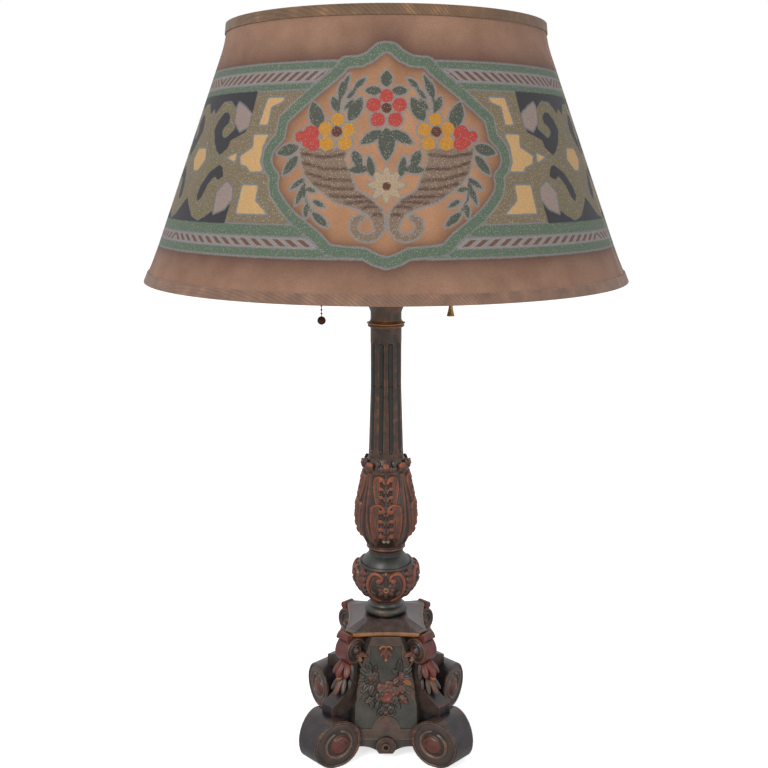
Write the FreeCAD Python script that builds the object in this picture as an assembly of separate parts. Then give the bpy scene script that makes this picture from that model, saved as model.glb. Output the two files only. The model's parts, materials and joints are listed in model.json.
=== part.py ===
import FreeCAD, Part

import math
import os

from FreeCAD import Vector

# A two-light candlestick lamp with a painted cloth shade, in millimetres.
# +Z is up, the front faces -Y, and the origin is on the table under the column's axis.

UP = Vector(0, 0, 1)
CENTRE = Vector(0, 0, 0)
REACH = 150.0
TWO_WAYS = (1, -1)

# Heights of the stacked castings, from the table up
CAVITY_TOP_Z = 114.0
CORNICE_Z = 122.4
ROOF_Z = 127.4
COLUMN_FOOT_Z = 133.6
KNOP_Z = 147.0
BELL_COLLAR_Z = 183.0
VASE_Z = 200.0
LEAF_COLLAR_Z = 287.0
SHAFT_Z = 300.0
ASTRAGAL_Z = 431.5
CAPITAL_Z = 438.5
CHECK_PLATE_Z = 460.0

# Pedestal: half width of each concave panel at rising heights
PANEL_LINE = [(60.0, 7.0), (57.0, 25.0), (50.0, 46.0), (42.0, 72.0), (38.4, 98.0), (38.0, CORNICE_Z)]
STRAP_RISE = 1.2
CAVITY_LINE = [(56.0, 0.0), (50.0, 30.0), (40.0, 62.0), (33.5, CAVITY_TOP_Z)]
CORNER_WALL = 5.0
FIELD_TOP_Z = 113.0
FIELD_TOP_HALF = 16.0
FIELD_WAIST = (18.0, 88.0)
FIELD_HIP = (24.0, 63.0)
FIELD_SHOULDER_Z = 48.0
FIELD_FOOT_Z = 31.0
FIELD_FOOT_HALF = 34.5
FIELD_ARCH_HALF = 14.0
FIELD_ARCH_Z = 43.0
APRON_LEDGE_Z = 20.7
APRON_LEDGE_HALF = 40.0
APRON_CREST_Z = 13.4
APRON_SPRING_Z = 9.0
APRON_DROP_Z = 7.2
APRON_DROP_HALF = 9.0
APRON_CREST_X = 24.0
APRON_END_X = 40.0
BOSS_R = 10.0
BOSS_Z = 14.6
BOSS_RISE = 1.4
BOSS_RING_R = 4.2
BOSS_EYE_R = 2.4

# Corner legs, drawn in the upright plane through the diagonal
SEAT_FOOT = (68.0, 5.0)
SEAT_HEAD = (38.0, 120.0)
ROLL_R = 24.5
ROLL_CENTRE = (86.0, 24.0)
ROLL_HALF = 12.0
ROLL_SPLAY_DEG = 16.0
LEG_HALF = 7.8
STEP_R = 83.0
STEP_Z = 58.5
STEP_CHAMFER = (3.0, 1.0)
NECK_MIDDLE = (64.0, 69.5)
NECK_TOP = (56.0, 92.0)
VOLUTE_R = 14.0
VOLUTE_REACH = 50.5
EAR_R = 4.0
EAR_REACH = 57.8
EAR_Z = 123.2
EAR_HALF = 6.4
LEG_TURN_DEG = 45.0
ROLL_GROOVE = (18.8, -16.6, 13.4, -10.4)
ROLL_GROOVE_WIDTH = 2.4
ROLL_EYE_REACH = 88.8
ROLL_EYE_Z = 25.0
VOLUTE_GROOVE = (10.6, -8.8, 6.6)
VOLUTE_GROOVE_WIDTH = 2.0
GROOVE_DEPTH = 1.3

# Cornice and roof
CORNICE_HALF = 41.5
CORNICE_WAIST = 38.5
CORNICE_CORNER = 33.0
CORNICE_ROUND = 2.0
ROOF_INSET = 0.92
ROOF_CROWN = 0.56

# Column: each casting's line as (radius, share of its own height)
COLUMN_FOOT_LINE = [(19.0, 0.0), (21.5, 0.33), (19.0, 0.66), (16.6, 0.79), (16.0, 1.0)]
KNOP_LINE = [(16.6, 0.0), (26.6, 0.26), (33.8, 0.56), (35.4, 0.77), (34.6, 0.98), (33.4, 1.1), (29.2, 1.18)]
KNOP_DISH_LINE = [(27.4, 1.12), (27.0, 1.0)]
KNOP_RELIEF = 1.2
CASTING_WALL = 4.0
CARTOUCHE_HALF = 15.0
CARTOUCHE_TOP_HALF = 14.0
CARTOUCHE_SPAN = (0.055, 1.11)
BELL_COLLAR_LINE = [(26.4, 0.0), (26.4, 0.08), (22.8, 0.56), (17.6, 0.86), (17.6, 1.0)]
VASE_BEAD_LINE = [(18.6, 0.0), (19.5, 0.018), (18.6, 0.037)]
VASE_LINE = [(28.4, 0.161), (32.3, 0.333), (31.1, 0.5), (27.9, 0.667), (24.0, 0.833), (22.3, 1.0)]
VASE_RELIEF = 1.2
LEAF_HALF = 12.5
LEAF_TIP_HALF = 6.5
LEAF_SPAN = (0.08, 0.995)
RIB_HALF = 2.2
RIB_SPAN = (0.1, 0.995)
LEAF_COLLAR_LINE = [(21.7, 0.0), (21.8, 0.34), (20.8, 0.58), (18.2, 1.0)]
COLLAR_TIP_COUNT = 8
COLLAR_TIP_R = 3.4
COLLAR_TIP_HALF = 5.2
COLLAR_TIP_REACH = 21.4
COLLAR_TIP_Z = 292.4
SHAFT_FOOT_R = 17.6
SHAFT_NECK_R = 15.3
SHAFT_WAIST_Z = 373.0
FLUTE_COUNT = 10
FLUTE_TOOL_R = 3.0
FLUTE_STANDOFF = 1.2
FLUTE_LOW_Z = 308.5
FLUTE_HIGH_Z = 414.0
ASTRAGAL_LINE = [(16.2, 0.0), (18.1, 0.2), (17.7, 0.4), (19.1, 0.6), (16.8, 0.74), (15.6, 1.0)]
CAPITAL_LINE = [(15.2, 0.0), (15.2, 0.35), (17.1, 0.58), (22.0, 0.91), (22.0, 1.0)]

# Through pipe and what clamps the castings
PIPE_R = 4.8
PIPE_BORE_R = 3.1
PIPE_CLEARANCE = 0.3
PIPE_FOOT_Z = 100.0
WASHER_R = 20.0
WASHER_THICK = 2.5
NUT_ACROSS = 16.0
NUT_HEIGHT = 6.0
PLATE_R = 22.5
PLATE_THICK = 2.5
SLEEVE_R = 7.5

# Cord inlet in the back panel
INLET_Z = 36.0
INLET_BORE_R = 3.2
INLET_BODY_R = 4.6
INLET_FLANGE_R = 6.8
INLET_FLANGE_THICK = 1.8
INLET_CLEARANCE = 0.1

# Light cluster
CLUSTER_Z = 508.0
CLUSTER_R = 15.0
CLUSTER_FOOT = 12.0
CLUSTER_CROWN = 12.0
ARM_TILT_DEG = 45.0
ARM_R = 4.8
ARM_START = 10.5
ARM_END = 40.0
THREAD_CLEARANCE = 0.1

# Lampholders: stations are distances from the cluster's centre along the tilted axis
CAP_HUB_START = 33.0
CAP_HUB_R = 7.0
CAP_DOME_START = 42.0
CAP_SHOULDER = (3.4, 3.2)
CAP_SKIRT_START = 52.0
CAP_SKIRT_END = 57.0
CAP_R = 17.0
CAP_WALL = 0.8
SHELL_START = 54.5
SHELL_END = 96.0
SHELL_WALL = 0.6
LINER_END = 97.5
LINER_WALL = 0.9
SWITCH_START = 46.0
SWITCH_END = 69.0
SWITCH_R = 13.6
SWITCH_CHAMFER = (4.0, 6.0)
SCREW_SHELL_END = 91.0
SCREW_SHELL_R = 13.2
SCREW_SHELL_WALL = 0.35
SCREW_SHELL_HOLE_R = 6.9
CONTACT_R = 4.0
CONTACT_THICK = 1.0
SLIP = 0.15

# Pull-chain guides
GUIDE_STATION = 63.0
GUIDE_R = 3.6
GUIDE_BORE_R = 1.6
CHAIN_X = 63.2
CHAIN_PIVOT_Z = 526.0
MOUTH_DEPTH = 7.0
MOUTH_R = 6.6
MOUTH_WALL = 0.8
MOUTH_WAIST_R = 5.2
GUIDE_BORE_TOP_Z = 537.0

# Pull chains
BEAD_R = 1.2
BEAD_SIDES = 8
BEAD_PITCH = 3.8
LINK_WIRE_R = 0.45
LEAD_TOP_Z = 536.4
JOINT_GAP = 0.3
LINK_LENGTH = 2.7
BALL_Z = 437.4
BALL_R = 4.2
BELL_TOP_Z = 453.0
BELL_HEIGHT = 11.2
BELL_FOOT_Z = BELL_TOP_Z - BELL_HEIGHT
BELL_LINE = [(3.8, 0.0), (3.8, 0.07), (2.6, 0.5), (1.8, 0.91), (1.2, 1.0)]
PENDANT_BORE_R = 0.6
PENDANT_BORE_DEPTH = 2.5

# Bulbs, seated in the screw shells
BULB_CLEARANCE = 0.3
BULB_CAP_R = SCREW_SHELL_R - BULB_CLEARANCE
BULB_TIP_R = 5.0
BULB_TIP_RISE = 6.0
BULB_CAP_FLOOR = 78.5
BULB_CAP_END = 95.0
BULB_NECK_R = 12.2
BULB_R = 29.5
BULB_MIDDLE = 148.5
GLASS_FOOT = 83.0
GLASS_WALL = 0.9
GLASS_FLARE = [(15.0, 107.5), (21.5, 120.0), (28.0, 133.0)]
STEM_R = 4.5
STEM_TIP_R = 2.25
STEM_END = 122.0
FILAMENT_STATION = 138.0
FILAMENT_REACH = 12.0
FILAMENT_R = 0.5
SUPPORT_R = 0.4
SUPPORT_ROOT = 2.0

# Shade: a straight flare that runs smoothly into a steep collar above and a kick below
SHADE_TOP_R = 146.2
SHADE_TOP_Z = 710.2
SHADE_FOOT_R = 228.8
SHADE_FOOT_Z = 482.0
COLLAR_FLARE = 5.8
COLLAR_DROP = 26.2
KICK_FLARE = 15.8
KICK_RISE = 36.7
FLARE_TOP = (SHADE_TOP_R + COLLAR_FLARE, SHADE_TOP_Z - COLLAR_DROP)
FLARE_FOOT = (SHADE_FOOT_R - KICK_FLARE, SHADE_FOOT_Z + KICK_RISE)
COVER_WALL = 1.2
SEAM_DEG = 71.0
SEAM_GAP_DEG = 0.27
RIB_COUNT = 6
SPIDER_ARM_COUNT = 3
RING_WIRE_R = 1.6
RING_SIDES = 8
RIB_WIRE_R = 1.4
RING_INSET_Z = 2.2
FRAME_SLIP = 0.1
TRIM_THICK = 0.9
TRIM_HEIGHT = 7.6
TRIM_TUCK = 6.6

# Riser, spider and finial
RISER_R = 3.2
RISER_SOCKET = 8.0
REST_Z = SHADE_TOP_Z - 28.2
RISER_TOP_Z = REST_Z + 20.0
REST_R = 8.0
REST_THICK = 4.0
TURN_GAP = 0.3
HUB_R = 11.0
HUB_THICK = 3.0
SPIDER_WIRE_R = 1.8
FINIAL_LINE = [(7.0, 0.0), (5.8, 0.1), (5.0, 0.235), (7.0, 0.59), (3.0, 0.9), (2.6, 1.0)]
FINIAL_HEIGHT = 19.6


class Outline:
    """A closed outline in the XZ plane, drawn from point to point as (x, z)."""

    def __init__(self, x, z):
        self.start = Vector(x, 0, z)
        self.here = self.start
        self.edges = []

    def line(self, x, z):
        end = Vector(x, 0, z)
        self.edges.append(Part.LineSegment(self.here, end).toShape())
        self.here = end
        return self

    def arc(self, middle, end):
        points = [Vector(x, 0, z) for x, z in (middle, end)]
        self.edges.append(Part.Arc(self.here, *points).toShape())
        self.here = points[-1]
        return self

    def arcs(self, *points):
        """Arcs through the points, two points to each."""
        for middle, end in zip(points[::2], points[1::2]):
            self.arc(middle, end)
        return self

    def curve(self, *points):
        through = [self.here] + [Vector(x, 0, z) for x, z in points]
        spline = Part.BSplineCurve()
        spline.interpolate(through)
        self.edges.append(spline.toShape())
        self.here = through[-1]
        return self

    def face(self):
        if not self.here.isEqual(self.start, 1e-6):
            self.line(self.start.x, self.start.z)
        return Part.Face(Part.Wire(self.edges))


def turned(outline, degrees=360.0):
    """The outline swung about the Z axis."""
    return outline.face().revolve(CENTRE, UP, degrees)


def slab(outline, half_width):
    """The outline thickened to both sides of the XZ plane."""
    face = outline.face()
    face.translate(Vector(0, -half_width, 0))
    return face.extrude(Vector(0, 2 * half_width, 0))


def rotated(shape, degrees, axis=UP, about=CENTRE):
    copy = shape.copy()
    copy.rotate(about, axis, degrees)
    return copy


def shifted(shape, x=0.0, y=0.0, z=0.0):
    copy = shape.copy()
    copy.translate(Vector(x, y, z))
    return copy


def four_ways(shape, first_deg=0.0):
    return [rotated(shape, first_deg + 90.0 * k) for k in range(4)]


def rod(start, end, radius):
    """A round rod from one point to another."""
    along = end - start
    return Part.makeCylinder(radius, along.Length, start, along)


def stood(line, low, high, inset=0.0):
    """A casting's line set between its two heights, or moved in by inset."""
    return [(radius - inset, low + share * (high - low)) for radius, share in line]


def regular(sides, radius, z):
    """A regular polygon, level at height z."""
    steps = [math.radians(360.0 / sides * k) for k in range(sides + 1)]
    return Part.makePolygon([Vector(radius * math.cos(step), radius * math.sin(step), z) for step in steps])


def tube(outer_r, inner_r, low_z, high_z):
    return turned(Outline(inner_r, low_z).line(outer_r, low_z).line(outer_r, high_z).line(inner_r, high_z))


def save(node, *solids):
    """Write one sub-part: a single solid, or a group of like solids."""
    found = [solid for shape in solids for solid in shape.Solids]
    for solid in found:
        if not solid.isValid() or solid.Volume <= 0:
            raise ValueError(node + " isn't a sound solid")
    shape = found[0] if len(found) == 1 else Part.makeCompound(found)
    shape.exportStep("parts/" + node + ".step")


# Pedestal

def seat_reach(z):
    """Distance from the axis, along a diagonal, at which the legs seat on the core."""
    share = (z - SEAT_FOOT[1]) / (SEAT_HEAD[1] - SEAT_FOOT[1])
    return SEAT_FOOT[0] + share * (SEAT_HEAD[0] - SEAT_FOOT[0])


def beyond_seat(inset=0.0):
    """Everything outside the sloping plane on which the leg at +X seats."""
    low, high = -REACH, 2 * REACH
    outline = Outline(seat_reach(low) - inset, low).line(4 * REACH, low)
    outline.line(4 * REACH, high).line(seat_reach(high) - inset, high)
    return slab(outline, REACH)


def flared_block(outset):
    """The four-sided block whose sides follow the panel line, moved out by outset."""
    right = [(half + outset, z) for half, z in PANEL_LINE]
    left = [(-half, z) for half, z in reversed(right)]
    side = Outline(*right[0]).curve(*right[1:]).line(*left[0]).curve(*left[1:])
    block = slab(side, REACH)
    return block.common(rotated(block, 90))


def square(half, z):
    corners = [Vector(x * half, y * half, z) for x, y in ((-1, -1), (1, -1), (1, 1), (-1, 1), (-1, -1))]
    return Part.makePolygon(corners)


def cavity():
    """The hollow under the pedestal, its corners kept a wall's thickness inside the leg seats."""
    hollow = Part.makeLoft([square(half, z) for half, z in CAVITY_LINE], True, True)
    for corner in four_ways(beyond_seat(CORNER_WALL), 45):
        hollow = hollow.cut(corner)
    return hollow


def field_outline():
    """The sunk hourglass field of a panel, seen from the front."""
    hip, waist = FIELD_HIP, FIELD_WAIST
    outline = Outline(FIELD_TOP_HALF, FIELD_TOP_Z).arc(waist, hip)
    outline.line(FIELD_FOOT_HALF, FIELD_SHOULDER_Z).line(FIELD_FOOT_HALF, FIELD_FOOT_Z)
    outline.line(FIELD_ARCH_HALF, FIELD_FOOT_Z).arc((0, FIELD_ARCH_Z), (-FIELD_ARCH_HALF, FIELD_FOOT_Z))
    outline.line(-FIELD_FOOT_HALF, FIELD_FOOT_Z).line(-FIELD_FOOT_HALF, FIELD_SHOULDER_Z)
    outline.line(-hip[0], hip[1]).arc((-waist[0], waist[1]), (-FIELD_TOP_HALF, FIELD_TOP_Z))
    return outline


def ledge_outline():
    """The sunk strip of the apron below its ledge."""
    outline = Outline(-APRON_LEDGE_HALF, 0).line(APRON_LEDGE_HALF, 0)
    return outline.line(APRON_LEDGE_HALF, APRON_LEDGE_Z).line(-APRON_LEDGE_HALF, APRON_LEDGE_Z)


def arches_outline():
    """What is open under the apron: two low arches with a drop between them."""
    spring, end, drop = APRON_SPRING_Z, APRON_END_X, APRON_DROP_HALF
    outline = Outline(-end, -spring).line(-end, spring)
    outline.arc((-APRON_CREST_X, APRON_CREST_Z), (-drop, spring)).arc((0, APRON_DROP_Z), (drop, spring))
    return outline.arc((APRON_CREST_X, APRON_CREST_Z), (end, spring)).line(end, -spring)


def panel_cutter(outline, inner):
    """The outline driven into the front panel as deep as the inner block's face."""
    face = outline.face()
    return face.extrude(Vector(0, -REACH, 0)).cut(inner)


def boss():
    """A round boss on the apron, with a small raised ring and a pierced eye."""
    face = PANEL_LINE[0][0] + STRAP_RISE
    back = Vector(0, -CAVITY_LINE[0][0] + CORNER_WALL, BOSS_Z)
    toward = Vector(0, -1, 0)
    disc = Part.makeCylinder(BOSS_R, face + BOSS_RISE + back.y, back, toward)
    ring = Part.makeCylinder(BOSS_RING_R, face + 2 * BOSS_RISE + back.y, back, toward)
    eye = Part.makeCylinder(BOSS_EYE_R, REACH, Vector(0, -face, BOSS_Z), toward)
    body = disc.fuse(ring).cut(eye)
    return body.cut(Part.makeBox(REACH, REACH, REACH, Vector(-REACH / 2, -REACH, APRON_DROP_Z - REACH)))


def inlet_face_y():
    """How far back the flat spot for the cord inlet lies."""
    lower, upper = PANEL_LINE[1], PANEL_LINE[2]
    share = (INLET_Z - lower[1]) / (upper[1] - lower[1])
    return lower[0] + share * (upper[0] - lower[0]) - STRAP_RISE


def pedestal_core():
    inner = flared_block(0)
    core = flared_block(STRAP_RISE)
    sunk = panel_cutter(field_outline(), inner).fuse(panel_cutter(ledge_outline(), inner))
    arches = slab(arches_outline(), REACH)
    for turn in range(4):
        core = core.cut(rotated(sunk, 90 * turn))
    core = core.cut(arches).cut(rotated(arches, 90))
    core = core.fuse(four_ways(boss()))
    core = core.cut(cavity())
    for corner in four_ways(beyond_seat(), 45):
        core = core.cut(corner)
    spot_y = inlet_face_y()
    far = Vector(0, spot_y + REACH, INLET_Z)
    spot = rod(Vector(0, spot_y, INLET_Z), far, INLET_FLANGE_R + INLET_CLEARANCE)
    hole = rod(Vector(0, 0, INLET_Z), far, INLET_BODY_R + INLET_CLEARANCE)
    bore = rod(CENTRE, UP * REACH, PIPE_R + PIPE_CLEARANCE)
    return core.cut(spot).cut(hole).cut(bore)


def spiral_groove(stations, width):
    """A spiral band in the XZ plane, each half turn a half circle between two stations."""
    signs = [1 if x > 0 else -1 for x in stations]
    inner = [x - sign * width for x, sign in zip(stations, signs)]
    outline = Outline(stations[0], 0)

    def half_turn(start, end, way):
        outline.arc(((start + end) / 2, way * abs(start - end) / 2), (end, 0))

    for k in range(len(stations) - 1):
        half_turn(stations[k], stations[k + 1], signs[k])
    outline.line(inner[-1], 0)
    for k in reversed(range(len(stations) - 1)):
        half_turn(inner[k + 1], inner[k], signs[k])
    return slab(outline, GROOVE_DEPTH)


def both_sides(shape):
    return [shape, shape.mirror(CENTRE, Vector(0, 1, 0))]


def foot_roll():
    """The big roll that the corner stands on, splayed inward in plan and flat at the table."""
    x, z = ROLL_CENTRE
    tip, root = x + ROLL_R, SEAT_HEAD[0]
    root_half = ROLL_HALF + (tip - root) * math.tan(math.radians(ROLL_SPLAY_DEG))
    plan = [(tip, -ROLL_HALF), (tip, ROLL_HALF), (root, root_half), (root, -root_half), (tip, -ROLL_HALF)]
    wedge = Part.Face(Part.makePolygon([Vector(px, py, 0) for px, py in plan]))
    return cross_roll(x, z, REACH, ROLL_R).common(wedge.extrude(Vector(0, 0, REACH)))


def leg_back():
    """The stepped and hollowed stem between the roll and the upper volute."""
    low, high = ROLL_CENTRE[1], CORNICE_Z
    outline = Outline(seat_reach(low), low).line(STEP_R, low).line(STEP_R, STEP_Z)
    outline.line(STEP_R - STEP_CHAMFER[0], STEP_Z + STEP_CHAMFER[1]).arc(NECK_MIDDLE, NECK_TOP)
    outline.line(VOLUTE_REACH, high).line(seat_reach(high), high)
    return slab(outline, LEG_HALF)


def cross_roll(x, z, half, radius):
    """A round roll lying across the XZ plane."""
    return rod(Vector(x, -half, z), Vector(x, half, z), radius)


def scroll_leg():
    """One corner leg on the +X diagonal: a foot roll, a stepped stem, a volute and a curled ear."""
    volute_z = CORNICE_Z - VOLUTE_R
    volute = cross_roll(VOLUTE_REACH, volute_z, LEG_HALF, VOLUTE_R)
    ear = cross_roll(EAR_REACH, EAR_Z, EAR_HALF, EAR_R)
    leg = foot_roll().fuse([leg_back(), volute, ear])
    roll_groove = spiral_groove(ROLL_GROOVE, ROLL_GROOVE_WIDTH)
    tip = ROLL_CENTRE[0] + ROLL_R
    offset = ROLL_HALF + (tip - ROLL_EYE_REACH) * math.tan(math.radians(ROLL_SPLAY_DEG))
    roll_groove = shifted(rotated(roll_groove, -ROLL_SPLAY_DEG), ROLL_EYE_REACH, offset, ROLL_EYE_Z)
    volute_groove = spiral_groove(VOLUTE_GROOVE, VOLUTE_GROOVE_WIDTH)
    volute_groove = shifted(volute_groove, VOLUTE_REACH, LEG_HALF, volute_z)
    leg = leg.cut(both_sides(roll_groove) + both_sides(volute_groove))
    return leg.common(beyond_seat())


def cornice_plan(share, z):
    """The cornice's outline in plan: four hollow sides and four short canted corners."""
    side, waist, corner = (share * size for size in (CORNICE_HALF, CORNICE_WAIST, CORNICE_CORNER))
    edges = []
    for turn in range(4):
        swing = FreeCAD.Rotation(UP, 90 * turn)
        plan = ((-corner, -side), (0, -waist), (corner, -side), (side, -corner))
        start, middle, end, next_start = (swing.multVec(Vector(x, y, z)) for x, y in plan)
        edges.append(Part.Arc(start, middle, end).toShape())
        edges.append(Part.LineSegment(end, next_start).toShape())
    return Part.Wire(edges)


def cornice():
    """The gilt cornice moulding and the low hipped roof that carries the column."""
    moulding = Part.Face(cornice_plan(1.0, CORNICE_Z)).extrude(Vector(0, 0, ROOF_Z - CORNICE_Z))
    long_edges = [edge for edge in moulding.Edges if edge.Length > CORNICE_CORNER]
    moulding = moulding.makeFillet(CORNICE_ROUND, long_edges)
    eaves, crown = cornice_plan(ROOF_INSET, ROOF_Z), cornice_plan(ROOF_CROWN, COLUMN_FOOT_Z)
    roof = Part.makeLoft([eaves, crown], True, True)
    return moulding.fuse(roof).cut(rod(CENTRE, UP * REACH, PIPE_R + PIPE_CLEARANCE))


# Column

def casting(line, low, high):
    """A solid turned casting on the column's axis."""
    points = stood(line, low, high)
    outline = Outline(0, low).line(*points[0])
    return outline, points[1:]


def bored(body):
    return body.cut(rod(CENTRE, Vector(0, 0, CLUSTER_Z), PIPE_R + PIPE_CLEARANCE))


def column_foot():
    outline, points = casting(COLUMN_FOOT_LINE, COLUMN_FOOT_Z, KNOP_Z)
    return bored(turned(outline.arcs(*points).line(0, KNOP_Z)))


def knop_body(inset):
    """The bowl of the lower knop, its rim standing round a dish for the bell collar."""
    low, high = KNOP_Z, BELL_COLLAR_Z
    bowl = stood(KNOP_LINE, low, high, inset)
    dish = stood(KNOP_DISH_LINE, low, high)
    outline = Outline(0, low).line(*bowl[0]).arcs(*bowl[1:])
    return turned(outline.arc(*dish).line(0, high))


def relief_panel(full, halves, span, first_deg):
    """Four tongues cut from the full turned body, which stand proud of the inset one."""
    half, top_half = halves
    low, high = span
    tongue = Outline(-half, low + half).arc((0, low), (half, low + half)).line(top_half, high - top_half)
    tongue.arc((0, high), (-top_half, high - top_half))
    prism = tongue.face().extrude(Vector(0, -REACH, 0))
    return [full.common(each) for each in four_ways(prism, first_deg)]


def share_of(span, low, high):
    return [low + share * (high - low) for share in span]


def cored(casting_body, core, low, high):
    """A casting with its core taken out, between a floor and a roof one wall thick."""
    height = high - low - 2 * CASTING_WALL
    middle = Part.makeBox(2 * REACH, 2 * REACH, height, Vector(-REACH, -REACH, low + CASTING_WALL))
    return bored(casting_body).cut(core.common(middle))


def lower_knop():
    span = share_of(CARTOUCHE_SPAN, KNOP_Z, BELL_COLLAR_Z)
    shields = relief_panel(knop_body(0), (CARTOUCHE_HALF, CARTOUCHE_TOP_HALF), span, 0)
    body = knop_body(KNOP_RELIEF).fuse(shields)
    return cored(body, knop_body(KNOP_RELIEF + CASTING_WALL), KNOP_Z, BELL_COLLAR_Z)


def bell_collar():
    outline, points = casting(BELL_COLLAR_LINE, BELL_COLLAR_Z, VASE_Z)
    outline.line(*points[0]).arc(points[1], points[2]).line(*points[3]).line(0, VASE_Z)
    return bored(turned(outline))


def vase_body(inset):
    low, high = VASE_Z, LEAF_COLLAR_Z
    bead = stood(VASE_BEAD_LINE, low, high)
    outline = Outline(0, low).line(*bead[0]).arc(*bead[1:]).arcs(*stood(VASE_LINE, low, high, inset))
    return turned(outline.line(0, high))


def vase():
    """The lobed vase: four acanthus tongues on the flats and four plain ribs between them."""
    full = vase_body(0)
    leaves = relief_panel(full, (LEAF_HALF, LEAF_TIP_HALF), share_of(LEAF_SPAN, VASE_Z, LEAF_COLLAR_Z), 0)
    ribs = relief_panel(full, (RIB_HALF, RIB_HALF), share_of(RIB_SPAN, VASE_Z, LEAF_COLLAR_Z), 45)
    body = vase_body(VASE_RELIEF).fuse(leaves + ribs)
    return cored(body, vase_body(VASE_RELIEF + CASTING_WALL), VASE_Z, LEAF_COLLAR_Z)


def leaf_collar():
    """The collar of curled leaf tips where the shaft rises from the vase."""
    outline, points = casting(LEAF_COLLAR_LINE, LEAF_COLLAR_Z, SHAFT_Z)
    body = turned(outline.line(*points[0]).arc(*points[1:]).line(0, SHAFT_Z))
    left, right = (Vector(way * COLLAR_TIP_HALF, -COLLAR_TIP_REACH, COLLAR_TIP_Z) for way in TWO_WAYS)
    tip = rod(left, right, COLLAR_TIP_R)
    return bored(body.fuse([rotated(tip, 360.0 / COLLAR_TIP_COUNT * k) for k in range(COLLAR_TIP_COUNT)]))


def shaft_radius(z):
    """Radius of the shaft: straight above the waist, swelling below it."""
    if z >= SHAFT_WAIST_Z:
        return SHAFT_NECK_R
    share = (SHAFT_WAIST_Z - z) / (SHAFT_WAIST_Z - SHAFT_Z)
    return SHAFT_NECK_R + share * (SHAFT_FOOT_R - SHAFT_NECK_R)


def flute_cutter():
    """One flute's round-nosed cutter, held off the front of the shaft."""
    stations = (FLUTE_LOW_Z, SHAFT_WAIST_Z, FLUTE_HIGH_Z)
    path = [Vector(0, -shaft_radius(z) - FLUTE_STANDOFF, z) for z in stations]
    runs = [rod(path[k], path[k + 1], FLUTE_TOOL_R) for k in range(len(path) - 1)]
    noses = [Part.makeSphere(FLUTE_TOOL_R, end) for end in (path[0], path[-1])]
    return runs[0].fuse(runs[1:] + noses)


def fluted_shaft():
    outline = Outline(0, SHAFT_Z).line(SHAFT_FOOT_R, SHAFT_Z)
    outline.line(SHAFT_NECK_R, SHAFT_WAIST_Z).line(SHAFT_NECK_R, ASTRAGAL_Z).line(0, ASTRAGAL_Z)
    cutter = flute_cutter()
    half_pitch = 180.0 / FLUTE_COUNT
    flutes = [rotated(cutter, half_pitch * (2 * k + 1)) for k in range(FLUTE_COUNT)]
    return bored(turned(outline)).cut(flutes)


def astragal():
    """The sharp-edged ring moulding between the shaft and the capital."""
    outline, points = casting(ASTRAGAL_LINE, ASTRAGAL_Z, CAPITAL_Z)
    outline.arc(*points[:2]).line(*points[2]).arc(*points[3:]).line(0, CAPITAL_Z)
    return bored(turned(outline))


def capital():
    outline, points = casting(CAPITAL_LINE, CAPITAL_Z, CHECK_PLATE_Z)
    outline.line(*points[0]).arc(*points[1:3]).line(*points[3]).line(0, CHECK_PLATE_Z)
    return bored(turned(outline))


# Pipe and hardware

def lamp_pipe():
    return tube(PIPE_R, PIPE_BORE_R, PIPE_FOOT_Z, CLUSTER_Z - CLUSTER_FOOT / 2)


def hexagon_nut(low_z, height, across, hole_r):
    corner = across / 2 / math.cos(math.radians(30))
    body = Part.Face(regular(6, corner, low_z)).extrude(Vector(0, 0, height))
    return body.cut(rod(Vector(0, 0, low_z - height), Vector(0, 0, low_z + 2 * height), hole_r))


def cord_bushing():
    """The flanged bushing that lines the cord's way in, in the back panel."""
    face_y, toward = inlet_face_y(), Vector(0, 1, 0)
    inner_y = CAVITY_LINE[1][0] - CORNER_WALL
    body = Part.makeCylinder(INLET_BODY_R, face_y - inner_y, Vector(0, inner_y, INLET_Z), toward)
    flange = Part.makeCylinder(INLET_FLANGE_R, INLET_FLANGE_THICK, Vector(0, face_y, INLET_Z), toward)
    return body.fuse(flange).cut(rod(Vector(0, 0, INLET_Z), Vector(0, REACH, INLET_Z), INLET_BORE_R))


def cluster_body():
    """The wiring body on top of the pipe, with a tilted threaded port on each side."""
    low, high = CLUSTER_Z - CLUSTER_FOOT, CLUSTER_Z + CLUSTER_CROWN
    ball = Part.makeSphere(CLUSTER_R, Vector(0, 0, CLUSTER_Z))
    body = ball.common(Part.makeBox(REACH, REACH, high - low, Vector(-REACH / 2, -REACH / 2, low)))
    pipe_bore = rod(CENTRE, Vector(0, 0, CLUSTER_Z), PIPE_R + THREAD_CLEARANCE)
    riser_bore = rod(UP * (high - RISER_SOCKET), UP * (high + REACH), RISER_R + THREAD_CLEARANCE)
    port = rod(CENTRE, UP * REACH, ARM_R + THREAD_CLEARANCE)
    ports = [tilted(port, way) for way in TWO_WAYS]
    return body.cut([pipe_bore, riser_bore] + ports)


def tilted(shape, way):
    """A piece drawn upright on the axis, leaned out to the right (1) or left (-1) of the cluster."""
    leaned = shifted(rotated(shape, ARM_TILT_DEG, Vector(0, 1, 0)), z=CLUSTER_Z)
    return leaned if way > 0 else leaned.mirror(CENTRE, Vector(1, 0, 0))


def riser_rod():
    return rod(Vector(0, 0, CLUSTER_Z + CLUSTER_CROWN - RISER_SOCKET), Vector(0, 0, RISER_TOP_Z), RISER_R)


# Lampholders, drawn upright with the chain guide towards +X

def arm_nipple():
    return tube(ARM_R, PIPE_BORE_R, ARM_START, ARM_END)


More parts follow.
